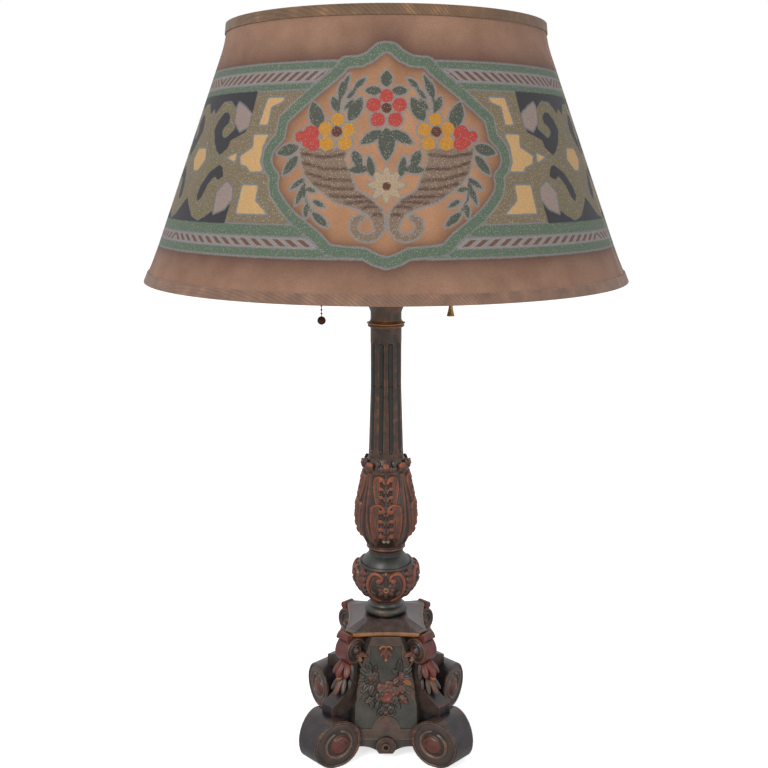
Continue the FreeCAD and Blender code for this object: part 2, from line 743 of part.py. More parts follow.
def socket_cap():
    """The domed cap that screws on the arm."""
    wall, outer = CAP_WALL, CAP_R
    shoulder = (outer - CAP_SHOULDER[0], CAP_DOME_START + CAP_SHOULDER[1])
    outline = Outline(ARM_R + THREAD_CLEARANCE, CAP_HUB_START).line(CAP_HUB_R, CAP_HUB_START)
    outline.line(CAP_HUB_R, CAP_DOME_START).arc(shoulder, (outer, CAP_SKIRT_START))
    outline.line(outer, CAP_SKIRT_END).line(outer - wall, CAP_SKIRT_END).line(outer - wall, CAP_SKIRT_START)
    outline.arc((shoulder[0] - wall, shoulder[1] + wall), (CAP_HUB_R, CAP_DOME_START + wall))
    return turned(outline.line(ARM_R + THREAD_CLEARANCE, CAP_DOME_START + wall))


def guide_notch(start, end):
    """The slot that lets the chain guide out through a tube's end."""
    half, below = GUIDE_R + SLIP, start - GUIDE_R
    notch = Outline(0, below).line(0, end).arc((half, end + half), (2 * half, end)).line(2 * half, below)
    cut = notch.face().extrude(Vector(0, REACH, 0))
    return shifted(rotated(cut, -90), y=half)


def socket_shell():
    outer = CAP_R - CAP_WALL - SLIP
    shell = tube(outer, outer - SHELL_WALL, SHELL_START, SHELL_END)
    return shell.cut(guide_notch(SHELL_START, GUIDE_STATION))


def socket_liner():
    outer = CAP_R - CAP_WALL - SHELL_WALL - 2 * SLIP
    liner = tube(outer, outer - LINER_WALL, SHELL_START, LINER_END)
    return liner.cut(guide_notch(SHELL_START, GUIDE_STATION))


def switch_body():
    """The insulating body that holds the pull switch and carries the screw shell."""
    start, (narrow, rise) = SWITCH_START, SWITCH_CHAMFER
    outline = Outline(0, start).line(SWITCH_R - narrow, start).line(SWITCH_R, start + rise)
    return turned(outline.line(SWITCH_R, SWITCH_END).line(0, SWITCH_END))


def screw_shell():
    outer, floor, hole = SCREW_SHELL_R + SCREW_SHELL_WALL, SWITCH_END + SCREW_SHELL_WALL, SCREW_SHELL_HOLE_R
    outline = Outline(hole, SWITCH_END).line(outer, SWITCH_END).line(outer, SCREW_SHELL_END)
    outline.line(SCREW_SHELL_R, SCREW_SHELL_END).line(SCREW_SHELL_R, floor)
    return turned(outline.line(hole, floor))


def centre_contact():
    return tube(CONTACT_R, 0, SWITCH_END, SWITCH_END + CONTACT_THICK)


def guide_corner():
    """Where the guide's level run meets its upright run, on the right-hand holder."""
    lean = math.radians(ARM_TILT_DEG)
    run = (CHAIN_X - GUIDE_STATION * math.sin(lean)) / math.cos(lean)
    drop = CLUSTER_Z + GUIDE_STATION * math.cos(lean) - run * math.sin(lean)
    return Vector(CHAIN_X, 0, drop)


def bell_mouth():
    """The flared mouth of a guide, from its throat down to its lip."""
    throat, lip = CHAIN_PIVOT_Z, CHAIN_PIVOT_Z - MOUTH_DEPTH
    outline = Outline(GUIDE_BORE_R, throat).line(MOUTH_R, lip).line(MOUTH_R + MOUTH_WALL, lip)
    outline.arc((MOUTH_WAIST_R, lip + MOUTH_DEPTH / 2), (GUIDE_R, throat))
    return shifted(turned(outline), x=CHAIN_X)


def chain_guide():
    """The elbow that leads the chain from the right-hand switch down to its bell mouth."""
    corner = guide_corner()
    lean = math.radians(ARM_TILT_DEG)
    axis_point = Vector(GUIDE_STATION * math.sin(lean), 0, CLUSTER_Z + GUIDE_STATION * math.cos(lean))
    outward = Vector(math.cos(lean), 0, -math.sin(lean))
    start = axis_point + outward * (SWITCH_R + SLIP)
    throat = Vector(CHAIN_X, 0, CHAIN_PIVOT_Z)
    elbow = rod(start, corner, GUIDE_R).fuse([Part.makeSphere(GUIDE_R, corner), rod(corner, throat, GUIDE_R)])
    level_bore = rod(start - outward, corner, GUIDE_BORE_R)
    upright_bore = rod(throat - UP, Vector(CHAIN_X, 0, GUIDE_BORE_TOP_Z), GUIDE_BORE_R)
    return elbow.fuse(bell_mouth()).cut([level_bore, upright_bore])


# Pull chains

def bead_string(low_z, high_z, count):
    """Beads on a link wire, evenly spaced between two heights, hanging at the chain's place."""
    margin = (high_z - low_z - (count - 1) * BEAD_PITCH) / 2
    rings = [regular(BEAD_SIDES, LINK_WIRE_R, low_z)]
    for k in range(count):
        middle = low_z + margin + k * BEAD_PITCH
        for radius, z in ((LINK_WIRE_R, middle - BEAD_R), (BEAD_R, middle), (LINK_WIRE_R, middle + BEAD_R)):
            rings.append(regular(BEAD_SIDES, radius, z))
    rings.append(regular(BEAD_SIDES, LINK_WIRE_R, high_z))
    return shifted(Part.makeLoft(rings, True, True), x=CHAIN_X)


def chain_beads(low_z, high_z):
    return int((high_z - low_z - 2 * BEAD_R) / BEAD_PITCH) + 1


def pull_lead():
    low = CHAIN_PIVOT_Z + JOINT_GAP
    return bead_string(low, LEAD_TOP_Z, chain_beads(low, LEAD_TOP_Z))


def pull_link():
    high = CHAIN_PIVOT_Z - JOINT_GAP
    return bead_string(high - LINK_LENGTH, high, 1)


def chain_top():
    return CHAIN_PIVOT_Z - 2 * JOINT_GAP - LINK_LENGTH


def hanging_chain(pendant_top):
    """The free chain, whose lowest end is let into its pendant."""
    low = pendant_top - PENDANT_BORE_DEPTH + JOINT_GAP
    beads = chain_beads(pendant_top, chain_top())
    upper = bead_string(pendant_top, chain_top(), beads)
    tail = Part.Face(regular(BEAD_SIDES, LINK_WIRE_R, low)).extrude(Vector(0, 0, pendant_top - low))
    return upper.fuse(shifted(tail, x=CHAIN_X)).removeSplitter()


def pendant_bore(top):
    foot = Vector(CHAIN_X, 0, top - PENDANT_BORE_DEPTH)
    return rod(foot, foot + UP * REACH, PENDANT_BORE_R)


def pull_ball():
    ball = Part.makeSphere(BALL_R, Vector(CHAIN_X, 0, BALL_Z))
    return ball.cut(pendant_bore(BALL_Z + BALL_R))


def pull_bell():
    points = stood(BELL_LINE, BELL_FOOT_Z, BELL_TOP_Z)
    outline = Outline(0, BELL_FOOT_Z).line(*points[0]).line(*points[1]).arc(*points[2:4])
    bell = turned(outline.line(*points[4]).line(0, BELL_TOP_Z))
    return shifted(bell, x=CHAIN_X).cut(pendant_bore(BELL_TOP_Z))


# Bulbs, drawn upright like their holders

def bulb_cap():
    """The screw cap of the bulb, down to its solder tip."""
    tip = SWITCH_END + CONTACT_THICK + BULB_CLEARANCE
    outline = Outline(0, tip).line(BULB_TIP_R, tip).line(BULB_CAP_R, tip + BULB_TIP_RISE)
    outline.line(BULB_CAP_R, BULB_CAP_END).line(BULB_NECK_R, BULB_CAP_END).line(BULB_NECK_R, BULB_CAP_FLOOR)
    return turned(outline.line(0, BULB_CAP_FLOOR))


def glass_line(inset):
    """The envelope from the cap to its crown, as its outer skin or one further in."""
    radius, slant = BULB_R - inset, math.radians(45)
    flare = [(x - inset, z) for x, z in [(BULB_NECK_R - SLIP, BULB_CAP_END)] + GLASS_FLARE]
    crown = (radius * math.sin(slant), BULB_MIDDLE + radius * math.cos(slant))
    return flare + [(radius, BULB_MIDDLE), crown, (0, BULB_MIDDLE + radius)]


def bulb_glass():
    """The blown envelope, its foot closed round the stem."""
    outer, inner = glass_line(0), glass_line(GLASS_WALL)
    stem_hole, floor = STEM_R + SLIP, GLASS_FOOT + GLASS_WALL
    outline = Outline(stem_hole, GLASS_FOOT).line(outer[0][0], GLASS_FOOT).line(*outer[0]).arcs(*outer[1:])
    outline.line(*inner[-1]).arcs(*inner[-2::-1])
    return turned(outline.line(inner[0][0], floor).line(stem_hole, floor))


def bulb_mount():
    """The glass stem, its two support wires and the filament across them."""
    outline = Outline(0, GLASS_FOOT).line(STEM_R, GLASS_FOOT).line(STEM_TIP_R, STEM_END)
    stem = turned(outline.line(0, STEM_END))
    tips = [Vector(0, way * FILAMENT_REACH, FILAMENT_STATION) for way in TWO_WAYS]
    roots = [Vector(0, way * STEM_TIP_R / 2, STEM_END - SUPPORT_ROOT) for way in TWO_WAYS]
    wires = [rod(root, tip, SUPPORT_R) for root, tip in zip(roots, tips)]
    return stem.fuse(wires + [rod(tips[0], tips[1], FILAMENT_R)])


# Shade

def smooth_centre(joint, far):
    """Centre of the arc that leaves the straight flare smoothly at the joint and ends at the far point."""
    top, foot = (Vector(x, 0, z) for x, z in (FLARE_TOP, FLARE_FOOT))
    along = (foot - top).normalize()
    normal = Vector(-along.z, 0, along.x)
    chord = Vector(far[0] - joint[0], 0, far[1] - joint[1])
    return Vector(joint[0], 0, joint[1]) + normal * (chord.Length ** 2 / (2 * chord.dot(normal)))


def cover_radius(z):
    """Outer radius of the cover at a height."""
    if FLARE_FOOT[1] <= z <= FLARE_TOP[1]:
        share = (FLARE_TOP[1] - z) / (FLARE_TOP[1] - FLARE_FOOT[1])
        return FLARE_TOP[0] + share * (FLARE_FOOT[0] - FLARE_TOP[0])
    above = z > FLARE_TOP[1]
    joint = FLARE_TOP if above else FLARE_FOOT
    far = (SHADE_TOP_R, SHADE_TOP_Z) if above else (SHADE_FOOT_R, SHADE_FOOT_Z)
    centre = smooth_centre(joint, far)
    reach = math.hypot(joint[0] - centre.x, joint[1] - centre.z)
    return centre.x - math.sqrt(reach ** 2 - (z - centre.z) ** 2)


def cover_slope(z):
    """How fast the cover widens downwards at a height."""
    return (cover_radius(z - FRAME_SLIP) - cover_radius(z + FRAME_SLIP)) / (2 * FRAME_SLIP)


def cover_line(inset):
    """Points of the cover's outer line, or of a line further in: top, collar, flare, kick and foot."""
    collar_z, kick_z = (SHADE_TOP_Z + FLARE_TOP[1]) / 2, (SHADE_FOOT_Z + FLARE_FOOT[1]) / 2
    heights = (SHADE_TOP_Z, collar_z, FLARE_TOP[1], FLARE_FOOT[1], kick_z, SHADE_FOOT_Z)
    return [(cover_radius(z) - inset, z) for z in heights]


def cover_section():
    outer, inner = cover_line(0), cover_line(COVER_WALL)
    outline = Outline(*outer[0]).arc(outer[1], outer[2]).line(*outer[3]).arc(outer[4], outer[5])
    outline.line(*inner[5]).arc(inner[4], inner[3]).line(*inner[2]).arc(inner[1], inner[0])
    return outline


def cover_panel(start_deg):
    """One half of the cover, from seam to seam; angles are taken from the front towards +X."""
    half = turned(cover_section(), 180 - 2 * SEAM_GAP_DEG)
    return rotated(half, start_deg + SEAM_GAP_DEG - 90)


def ring_reach(z, wire_r):
    """Radius at which a wire of the frame lies just inside the cover."""
    return cover_radius(z) - COVER_WALL - (FRAME_SLIP + wire_r) * math.hypot(1, cover_slope(z))


def wire_ring(z):
    """A frame ring of drawn wire."""
    section = rotated(regular(RING_SIDES, RING_WIRE_R, 0), 90, Vector(1, 0, 0))
    return Part.Face(shifted(section, x=ring_reach(z, RING_WIRE_R), z=z)).revolve(CENTRE, UP, 360)


def top_ring():
    return wire_ring(SHADE_TOP_Z - RING_INSET_Z)


def bottom_ring():
    return wire_ring(SHADE_FOOT_Z + RING_INSET_Z)


def bent_rod(start, middle, end, radius):
    """A round rod bent along the arc through three points."""
    arc = Part.Arc(start, middle, end).toShape()
    disc = Part.Face(Part.Wire([Part.makeCircle(radius, start, arc.tangentAt(arc.FirstParameter))]))
    swing = math.degrees(arc.LastParameter - arc.FirstParameter)
    return disc.revolve(arc.Curve.Center, arc.Curve.Axis, swing)


def rib_wire():
    """One upright rib in the XZ plane, following the inside of the cover from ring to ring."""
    ring_z = SHADE_FOOT_Z + RING_INSET_Z
    inset = cover_radius(ring_z) - ring_reach(ring_z, RING_WIRE_R)
    top, collar, flare, foot, kick, end = [Vector(x, 0, z) for x, z in cover_line(inset)]
    upper = bent_rod(top, collar, flare, RIB_WIRE_R)
    lower = bent_rod(foot, kick, end, RIB_WIRE_R)
    return upper.fuse([rod(flare, foot, RIB_WIRE_R), lower])


def shade_ribs():
    rib = rib_wire().cut([top_ring(), bottom_ring()])
    main = max(rib.Solids, key=lambda solid: solid.Volume)
    turn = 360.0 / RIB_COUNT
    return [rotated(main, SEAM_DEG - 90 + turn * k) for k in range(RIB_COUNT)]


def trim_band(edge_z, way):
    """The tape folded round an edge: down or up its outside and over the ring."""
    out, fold, slip = TRIM_THICK, way * TRIM_THICK, way * FRAME_SLIP
    outer_r, back_r = cover_radius(edge_z) + FRAME_SLIP, cover_radius(edge_z) - TRIM_TUCK
    hem_z = edge_z - way * TRIM_HEIGHT
    hem_r = cover_radius(hem_z) + FRAME_SLIP
    outline = Outline(outer_r + out, edge_z + fold).line(hem_r + out, hem_z).line(hem_r, hem_z)
    outline.line(outer_r, edge_z + slip).line(back_r, edge_z + slip).line(back_r, edge_z + fold)
    return turned(outline)


# Spider, rest and finial

def hub_floor():
    return REST_Z + REST_THICK + TURN_GAP


def spider_hub():
    floor = hub_floor()
    return tube(HUB_R, RISER_R + TURN_GAP, floor, floor + HUB_THICK)


def spider_arms():
    """Rods from the hub out and up to the top ring."""
    middle = hub_floor() + HUB_THICK / 2
    hub_end = Vector(HUB_R - SPIDER_WIRE_R, 0, middle)
    ring_z = SHADE_TOP_Z - RING_INSET_Z
    ring_end = Vector(ring_reach(ring_z, RING_WIRE_R), 0, ring_z)
    arm = rod(hub_end, ring_end, SPIDER_WIRE_R)
    arm = arm.cut([spider_hub(), top_ring()])
    arm = max(arm.Solids, key=lambda solid: solid.Volume)
    first, turn = SEAM_DEG - 90 + 180.0 / RIB_COUNT, 360.0 / SPIDER_ARM_COUNT
    return [rotated(arm, first + turn * k) for k in range(SPIDER_ARM_COUNT)]


def finial():
    """The turned knob that holds the shade down."""
    z = hub_floor() + HUB_THICK + TURN_GAP
    high = z + FINIAL_HEIGHT
    points = stood(FINIAL_LINE, z, high)
    outline = Outline(0, z).line(*points[0]).arcs(*points[1:5]).line(*points[5]).line(0, high)
    bore = rod(CENTRE, Vector(0, 0, RISER_TOP_Z + TURN_GAP), RISER_R + TURN_GAP)
    return turned(outline).cut(bore)


def build_pedestal():
    save("pedestal_core", pedestal_core())
    leg = scroll_leg()
    corners = ("front_right", "back_right", "back_left", "front_left")
    for k, corner in enumerate(corners):
        save("scroll_leg_" + corner, rotated(leg, LEG_TURN_DEG * (2 * k - 1)))
    save("cornice", cornice())
    save("cord_bushing", cord_bushing())


def build_column():
    save("column_foot", column_foot())
    save("lower_knop", lower_knop())
    save("bell_collar", bell_collar())
    save("vase", vase())
    save("leaf_collar", leaf_collar())
    save("fluted_shaft", fluted_shaft())
    save("astragal", astragal())
    save("capital", capital())
    hole_r = PIPE_R + THREAD_CLEARANCE
    washer_z = CAVITY_TOP_Z - WASHER_THICK
    save("check_plate", tube(PLATE_R, hole_r, CHECK_PLATE_Z, CHECK_PLATE_Z + PLATE_THICK))
    save("neck_sleeve", tube(SLEEVE_R, hole_r, CHECK_PLATE_Z + PLATE_THICK, CLUSTER_Z - CLUSTER_FOOT))
    save("bottom_washer", tube(WASHER_R, hole_r, washer_z, CAVITY_TOP_Z))
    save("bottom_nut", hexagon_nut(washer_z - NUT_HEIGHT, NUT_HEIGHT, NUT_ACROSS, hole_r))
    save("lamp_pipe", lamp_pipe())


def build_cluster():
    save("cluster_body", cluster_body())
    save("riser_rod", riser_rod())
    save("shade_rest", tube(REST_R, RISER_R + THREAD_CLEARANCE, REST_Z, REST_Z + REST_THICK))
    for node, piece in (("arm_nipples", arm_nipple()), ("socket_liners", socket_liner()),
                        ("screw_shells", screw_shell()), ("centre_contacts", centre_contact())):
        save(node, *[tilted(piece, way) for way in TWO_WAYS])
    for side, way in (("right", 1), ("left", -1)):
        save("socket_cap_" + side, tilted(socket_cap(), way))
        save("socket_shell_" + side, tilted(socket_shell(), way))
        save("switch_body_" + side, tilted(switch_body(), way))
        save("bulb_cap_" + side, tilted(bulb_cap(), way))
        save("bulb_glass_" + side, tilted(bulb_glass(), way))
        save("bulb_mount_" + side, tilted(bulb_mount(), way))


def build_pulls():
    pendants = {"right": BELL_TOP_Z, "left": BALL_Z + BALL_R}
    for side, pendant_top in pendants.items():
        pieces = {"chain_guide_": chain_guide(), "pull_lead_": pull_lead(), "pull_link_": pull_link(),
                  "pull_chain_": hanging_chain(pendant_top)}
        for name, piece in pieces.items():
            save(name + side, piece if side == "right" else piece.mirror(CENTRE, Vector(1, 0, 0)))
    save("pull_bell", pull_bell())
    save("pull_ball", pull_ball().mirror(CENTRE, Vector(1, 0, 0)))


def build_shade():
    save("shade_cover_front", cover_panel(SEAM_DEG - 180))
    save("shade_cover_back", cover_panel(SEAM_DEG))
    save("top_ring", top_ring())
    save("bottom_ring", bottom_ring())
    save("shade_ribs", *shade_ribs())
    save("top_trim", trim_band(SHADE_TOP_Z, 1))
    save("bottom_trim", trim_band(SHADE_FOOT_Z, -1))
    save("spider_hub", spider_hub())
    save("spider_arms", *spider_arms())
    save("finial", finial())


def main():
    os.makedirs("parts", exist_ok=True)
    build_pedestal()
    build_column()
    build_cluster()
    build_pulls()
    build_shade()


main()
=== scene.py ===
"""Looks of the candlestick lamp: painted casting, printed cloth shade, brass pull chains. Works in millimetres."""
import json
import math
from functools import partial

import bmesh
import bpy
import numpy as np
from mathutils import Euler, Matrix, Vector


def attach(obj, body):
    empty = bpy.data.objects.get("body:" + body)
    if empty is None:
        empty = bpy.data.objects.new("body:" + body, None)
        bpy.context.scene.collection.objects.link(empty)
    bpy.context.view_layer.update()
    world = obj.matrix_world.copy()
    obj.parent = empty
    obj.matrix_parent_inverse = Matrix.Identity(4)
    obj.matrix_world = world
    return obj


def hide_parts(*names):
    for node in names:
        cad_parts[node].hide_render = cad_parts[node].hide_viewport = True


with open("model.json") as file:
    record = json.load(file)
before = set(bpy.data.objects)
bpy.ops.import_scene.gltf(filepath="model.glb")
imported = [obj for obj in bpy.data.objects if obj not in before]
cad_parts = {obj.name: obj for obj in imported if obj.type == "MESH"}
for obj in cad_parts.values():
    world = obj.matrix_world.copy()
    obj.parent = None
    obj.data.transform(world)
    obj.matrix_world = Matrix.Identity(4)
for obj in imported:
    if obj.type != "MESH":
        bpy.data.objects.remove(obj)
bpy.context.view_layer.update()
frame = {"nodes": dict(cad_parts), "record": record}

MM = 0.001
WAVE_TURN = 6.283
TAPE_THREAD, TAPE_PATCH = 1.1, 14.0
PATCH_SIZE, PAINT_GRAIN = 9.0, 1.3
WORN_EDGE, DEEP_HOLLOW = 1.6, 6.0
CLOUD_SIZE, BRUSH_WOBBLE, FLECK_SIZE, BEAD_PITCH, THREAD_PITCH = 26.0, 2.4, 1.0, 1.3, 1.0
STRAND_PITCH, STRAND_LEAN, STRANDS_TURN_AT = 9.4, 1.35, 0.6


def linear(hex_colour):
    """An sRGB hex colour as linear red, green, blue and alpha."""
    parts = [int(hex_colour[k:k + 2], 16) / 255 for k in (1, 3, 5)]
    return tuple(c / 12.92 if c <= 0.04045 else ((c + 0.055) / 1.055) ** 2.4 for c in parts) + (1.0,)


def feed(node, inputs):
    """Sets a node's inputs: each takes a value, a hex colour, a pair for From or To, or what another node gives out."""
    for socket, source in inputs.items():
        if isinstance(source, bpy.types.Node):
            source = next(out for out in source.outputs if out.enabled)
        if isinstance(source, bpy.types.NodeSocket):
            node.id_data.links.new(node.inputs[socket], source)
        elif socket in ("From", "To"):
            for end, value in zip((" Min", " Max"), source):
                node.inputs[socket + end].default_value = value
        else:
            node.inputs[socket].default_value = linear(source) if isinstance(source, str) else source


def add(tree, kind, inputs=None, stops=None, **settings):
    """Adds a node with its settings and inputs; stops are a ramp's places and colours."""
    node = tree.nodes.new("ShaderNode" + kind)
    for key, value in settings.items():
        setattr(node, key, value)
    if stops:
        while len(node.color_ramp.elements) < len(stops):
            node.color_ramp.elements.new(1.0)
        for element, (place, colour) in zip(node.color_ramp.elements, stops):
            element.position = place
            element.color = linear(colour)
    feed(node, inputs or {})
    return node


def new_finish(name, **shader_values):
    """A material with only its shader, which takes the values given, and the function that adds to its nodes."""
    material = bpy.data.materials.new(name)
    material.use_nodes = True
    material.node_tree.nodes.clear()
    put = partial(add, material.node_tree)
    shader = put("BsdfPrincipled", {socket.replace("_", " "): value for socket, value in shader_values.items()})
    put("OutputMaterial", {"Surface": shader})
    return material, put, shader


# ---------------------------------------------------------------- finishes

def sum_of(put, parts):
    """One output that adds up all the parts."""
    total = parts[0]
    for part in parts[1:]:
        total = put("Math", {0: total, 1: part}, operation="ADD")
    return total


def band(low_z, high_z, near):
    """Where the surface lies between two heights and beyond a distance from the axis."""
    def build(put, height, reach, axes):
        above = put("MapRange", {"Value": height, "From": (low_z - 1.0, low_z + 1.0)})
        below = put("MapRange", {"Value": height, "From": (high_z + 0.6, high_z - 0.6)})
        beyond = put("MapRange", {"Value": reach, "From": (near - 1.5, near + 1.5)})
        share = put("Math", {0: above, 1: below}, operation="MULTIPLY")
        return put("Math", {0: share, 1: beyond}, operation="MULTIPLY")
    return build


def proud_of_panel(put, height, reach, axes):
    """Where the pedestal stands proud of its panel fields: the straps, the ledge and the boss."""
    parts = [put("MapRange", {"Value": height, "From": (low[1], high[1]), "To": (0.0, high[0] - low[0])})
             for low, high in zip(PANEL_LINE[:-1], PANEL_LINE[1:])]
    field = put("Math", {0: sum_of(put, parts), 1: PANEL_LINE[0][0]}, operation="ADD")
    far = put("Math", {0: axes[0], 1: axes[1]}, operation="MAXIMUM")
    proud = put("Math", {0: far, 1: field}, operation="SUBTRACT")
    return put("MapRange", {"Value": proud, "From": (0.45, 0.75)})


def leg_flank(put, height, reach, axes):
    """Where a corner leg shows its flat flank and not its tread."""
    both = put("Math", {0: axes[0], 1: axes[1]}, operation="ADD")
    gap = put("Math", {0: axes[0], 1: axes[1]}, operation="SUBTRACT")
    gap = put("Math", {0: gap}, operation="ABSOLUTE")
    side = put("Math", {0: gap, 1: math.sqrt(0.5)}, operation="MULTIPLY")
    slope = math.tan(ROLL_SPLAY)
    edge = put("Math", {0: both, 1: -slope * math.sqrt(0.5), 2: ROLL_HALF + (ROLL_AT[0] + ROLL_R) * slope},
               operation="MULTIPLY_ADD")
    low = put("Math", {0: height, 1: ROLL_AT[1] + ROLL_R - 1.5}, operation="LESS_THAN")
    limit = put("Mix", {0: low, 2: LEG_HALF, 3: edge})
    over = put("Math", {0: side, 1: limit}, operation="SUBTRACT")
    return put("MapRange", {"Value": over, "From": (-0.7, -0.3)})


def painted_casting(name, recess, body, rub, edge, ground=0.46, paint=False, accents=(), flutes=None, wear_gain=0.5):
    """Cast metal under matt paint: dark in the hollows, from dark paint left there and from painted shade, rubbed
    through to sienna and orange on the high edges.

    paint takes each shape's own colour; accents are further colours with where they lie; flutes holds the
    shaft's lower and upper height and radius, so its grooves keep the dark paint."""
    material, put, shader = new_finish(name, Metallic=0.0, Specular_IOR_Level=0.55)
    place = put("TexCoord").outputs["Object"]
    patches = put("TexNoise", {"Vector": place, "Scale": 1000 / PATCH_SIZE, "Detail": 5.0, "Roughness": 0.62})
    grain = put("TexNoise", {"Vector": place, "Scale": 1000 / PAINT_GRAIN, "Detail": 3.0, "Roughness": 0.7})
    worn = put("AmbientOcclusion", {"Distance": WORN_EDGE * MM}, inside=True, only_local=True, samples=6)
    # Ambient occlusion over the hollows: painted shade that darkens them beyond their dark paint.
    painted_hollow_shade = put("AmbientOcclusion", {"Distance": DEEP_HOLLOW * MM}, samples=6)
    wear = put("Math", {0: 1.0, 1: worn.outputs["AO"]}, operation="SUBTRACT")
    parts = [put("MapRange", {"Value": wear, "From": (0.12, 0.62), "To": (0.0, wear_gain)}),
             put("MapRange", {"Value": painted_hollow_shade.outputs["AO"], "From": (0.2, 0.9), "To": (-0.38, 0.0)}),
             put("MapRange", {"Value": patches, "From": (0.3, 0.7), "To": (-0.2, 0.2)}),
             put("MapRange", {"Value": grain, "From": (0.3, 0.7), "To": (-0.11, 0.11)})]
    split = put("SeparateXYZ", {0: place})
    height = put("Math", {0: split.outputs["Z"], 1: 1000.0}, operation="MULTIPLY")
    axes = []
    for key in ("X", "Y"):
        size = put("Math", {0: split.outputs[key], 1: 1000.0}, operation="MULTIPLY")
        axes.append(put("Math", {0: size}, operation="ABSOLUTE"))
    flat = put("CombineXYZ", {0: axes[0], 1: axes[1]})
    reach = put("VectorMath", {0: flat}, operation="LENGTH")
    if flutes:
        (low_z, low_r), (high_z, high_r) = flutes
        skin = put("MapRange", {"Value": height, "From": (low_z, high_z), "To": (low_r, high_r)})
        depth = put("Math", {0: skin, 1: reach}, operation="SUBTRACT")
        parts.append(put("MapRange", {"Value": depth, "From": (0.15, 1.3), "To": (0.22, -0.3)}))
    total = put("Math", {0: sum_of(put, parts), 1: ground}, operation="ADD")
    colour = put("ValToRGB", {"Fac": total}, stops=[(0.12, recess), (0.42, body), (0.7, rub), (0.98, edge)])
    shaded = put("MapRange", {"Value": total, "From": (0.05, 0.85), "To": (0.2, 1.65)})
    edged = put("MapRange", {"Value": total, "From": (0.74, 1.06), "To": (0.0, 0.8)})
    if paint:
        own = put("Attribute", attribute_name="paint")
        tinted = put("VectorMath", {0: own.outputs["Vector"], "Scale": shaded}, operation="SCALE")
        colour = put("Mix", {0: edged, 6: tinted, 7: edge}, data_type="RGBA")
    for accent, where in accents:
        tinted = put("VectorMath", {0: linear(accent)[:3], "Scale": shaded}, operation="SCALE")
        tinted = put("Mix", {0: edged, 6: tinted, 7: edge}, data_type="RGBA")
        colour = put("Mix", {0: where(put, height, reach, axes), 6: colour, 7: tinted}, data_type="RGBA")
    rough = put("MapRange", {"Value": patches, "To": (0.26, 0.5)})
    bump = put("Bump", {"Height": grain, "Strength": 0.4, "Distance": 0.15 * MM})
    coarse = put("Bump", {"Height": patches, "Strength": 0.35, "Distance": 0.8 * MM, "Normal": bump})
    feed(shader, {"Base Color": colour, "Roughness": rough, "Normal": coarse})
    return material


def grained(name, dark, light, grain_mm, detail, bump, rough=None, places=(0.32, 0.68), knots=0.5, **shader_values):
    """Stuff whose tone, gloss and relief follow one grain; bump is the relief's strength and its height in mm, and
    rough the roughness in the dark and the light."""
    material, put, shader = new_finish(name, **shader_values)
    grain = put("TexNoise", {"Vector": put("TexCoord").outputs["Object"], "Scale": 1000 / grain_mm, "Detail": detail,
                             "Roughness": knots})
    feed(shader, {"Base Color": put("ValToRGB", {"Fac": grain}, stops=list(zip(places, (dark, light)))),
                  "Normal": put("Bump", {"Height": grain, "Strength": bump[0], "Distance": bump[1] * MM})})
    if rough:
        feed(shader, {"Roughness": put("MapRange", {"Value": grain, "To": rough})})
    return material


def bare_metal(name, light, dark, roughness):
    """Bare or plated metal with faint handling marks and tarnish in patches."""
    return grained(name, dark, light, 2.0, 6.0, (0.2, 0.05), (roughness + 0.18, roughness), (0.3, 0.66), 0.7,
                   Metallic=1.0)


def matt_stuff(name, light, dark, roughness, grain_mm):
    """Card, moulding or plastic: a matt surface with grain of a given size."""
    return grained(name, dark, light, grain_mm, 4.0, (0.4, 0.1), (roughness - 0.08, roughness + 0.08), Metallic=0.0)


def woven_tape(name, light, dark, edge):
    """Narrow woven binding tape: a fine diagonal rib, darker between its threads."""
    material, put, shader = new_finish(name, Roughness=0.85, Sheen_Weight=0.2)
    place = put("TexCoord").outputs["Object"]
    slant = put("TexWave", {"Vector": place, "Scale": 1000 / TAPE_THREAD / WAVE_TURN, "Distortion": 1.5,
                            "Detail": 2.0, "Detail Scale": 3.0}, bands_direction="DIAGONAL")
    patches = put("TexNoise", {"Vector": place, "Scale": 1000 / TAPE_PATCH, "Detail": 5.0})
    blend = put("Math", {0: slant.outputs["Fac"], 1: 0.18, 2: patches}, operation="MULTIPLY_ADD")
    ramp = put("ValToRGB", {"Fac": blend}, stops=[(0.3, dark), (0.72, light), (0.95, edge)])
    bump = put("Bump", {"Height": slant.outputs["Fac"], "Strength": 0.6, "Distance": 0.2 * MM})
    feed(shader, {"Base Color": ramp, "Normal": bump})
    return material


# ---------------------------------------------------------------- meshes

def grid_net(cells_across, cells_up):
    """A flat net and its verts' places, each 0 to 1 across and up."""
    net = bmesh.new()
    bmesh.ops.create_grid(net, x_segments=cells_across, y_segments=cells_up, size=0.5)
    return net, np.array([v.co[:2] for v in net.verts]) + 0.5


def turned(x, y, z, swing):
    """Places in millimetres, swung about the lamp's axis, in metres."""
    cos, sin = np.cos(swing), np.sin(swing)
    return np.stack(np.broadcast_arrays(x * cos - y * sin, x * sin + y * cos, z), -1) * MM


def place_net(net, places):
    for vert, place in zip(net.verts, places):
        vert.co = place


def face_outward(net, away=None):
    """Recalculates the normals, then turns them if the middle face looks in, or against away."""
    bmesh.ops.recalc_face_normals(net, faces=net.faces[:])
    net.faces.ensure_lookup_table()
    middle = net.faces[len(net.faces) // 2]
    if middle.normal.dot(away or middle.calc_center_median() * Vector((1, 1, 0))) < 0:
        bmesh.ops.reverse_faces(net, faces=net.faces[:])


def as_piece(name, net, *materials):
    """The net as an object at the origin, with its materials."""
    mesh = bpy.data.meshes.new(name)
    net.to_mesh(mesh)
    net.free()
    mesh.shade_smooth()
    for material in materials:
        mesh.materials.append(material)
    piece = bpy.data.objects.new(name, mesh)
    bpy.context.scene.collection.objects.link(piece)
    return piece


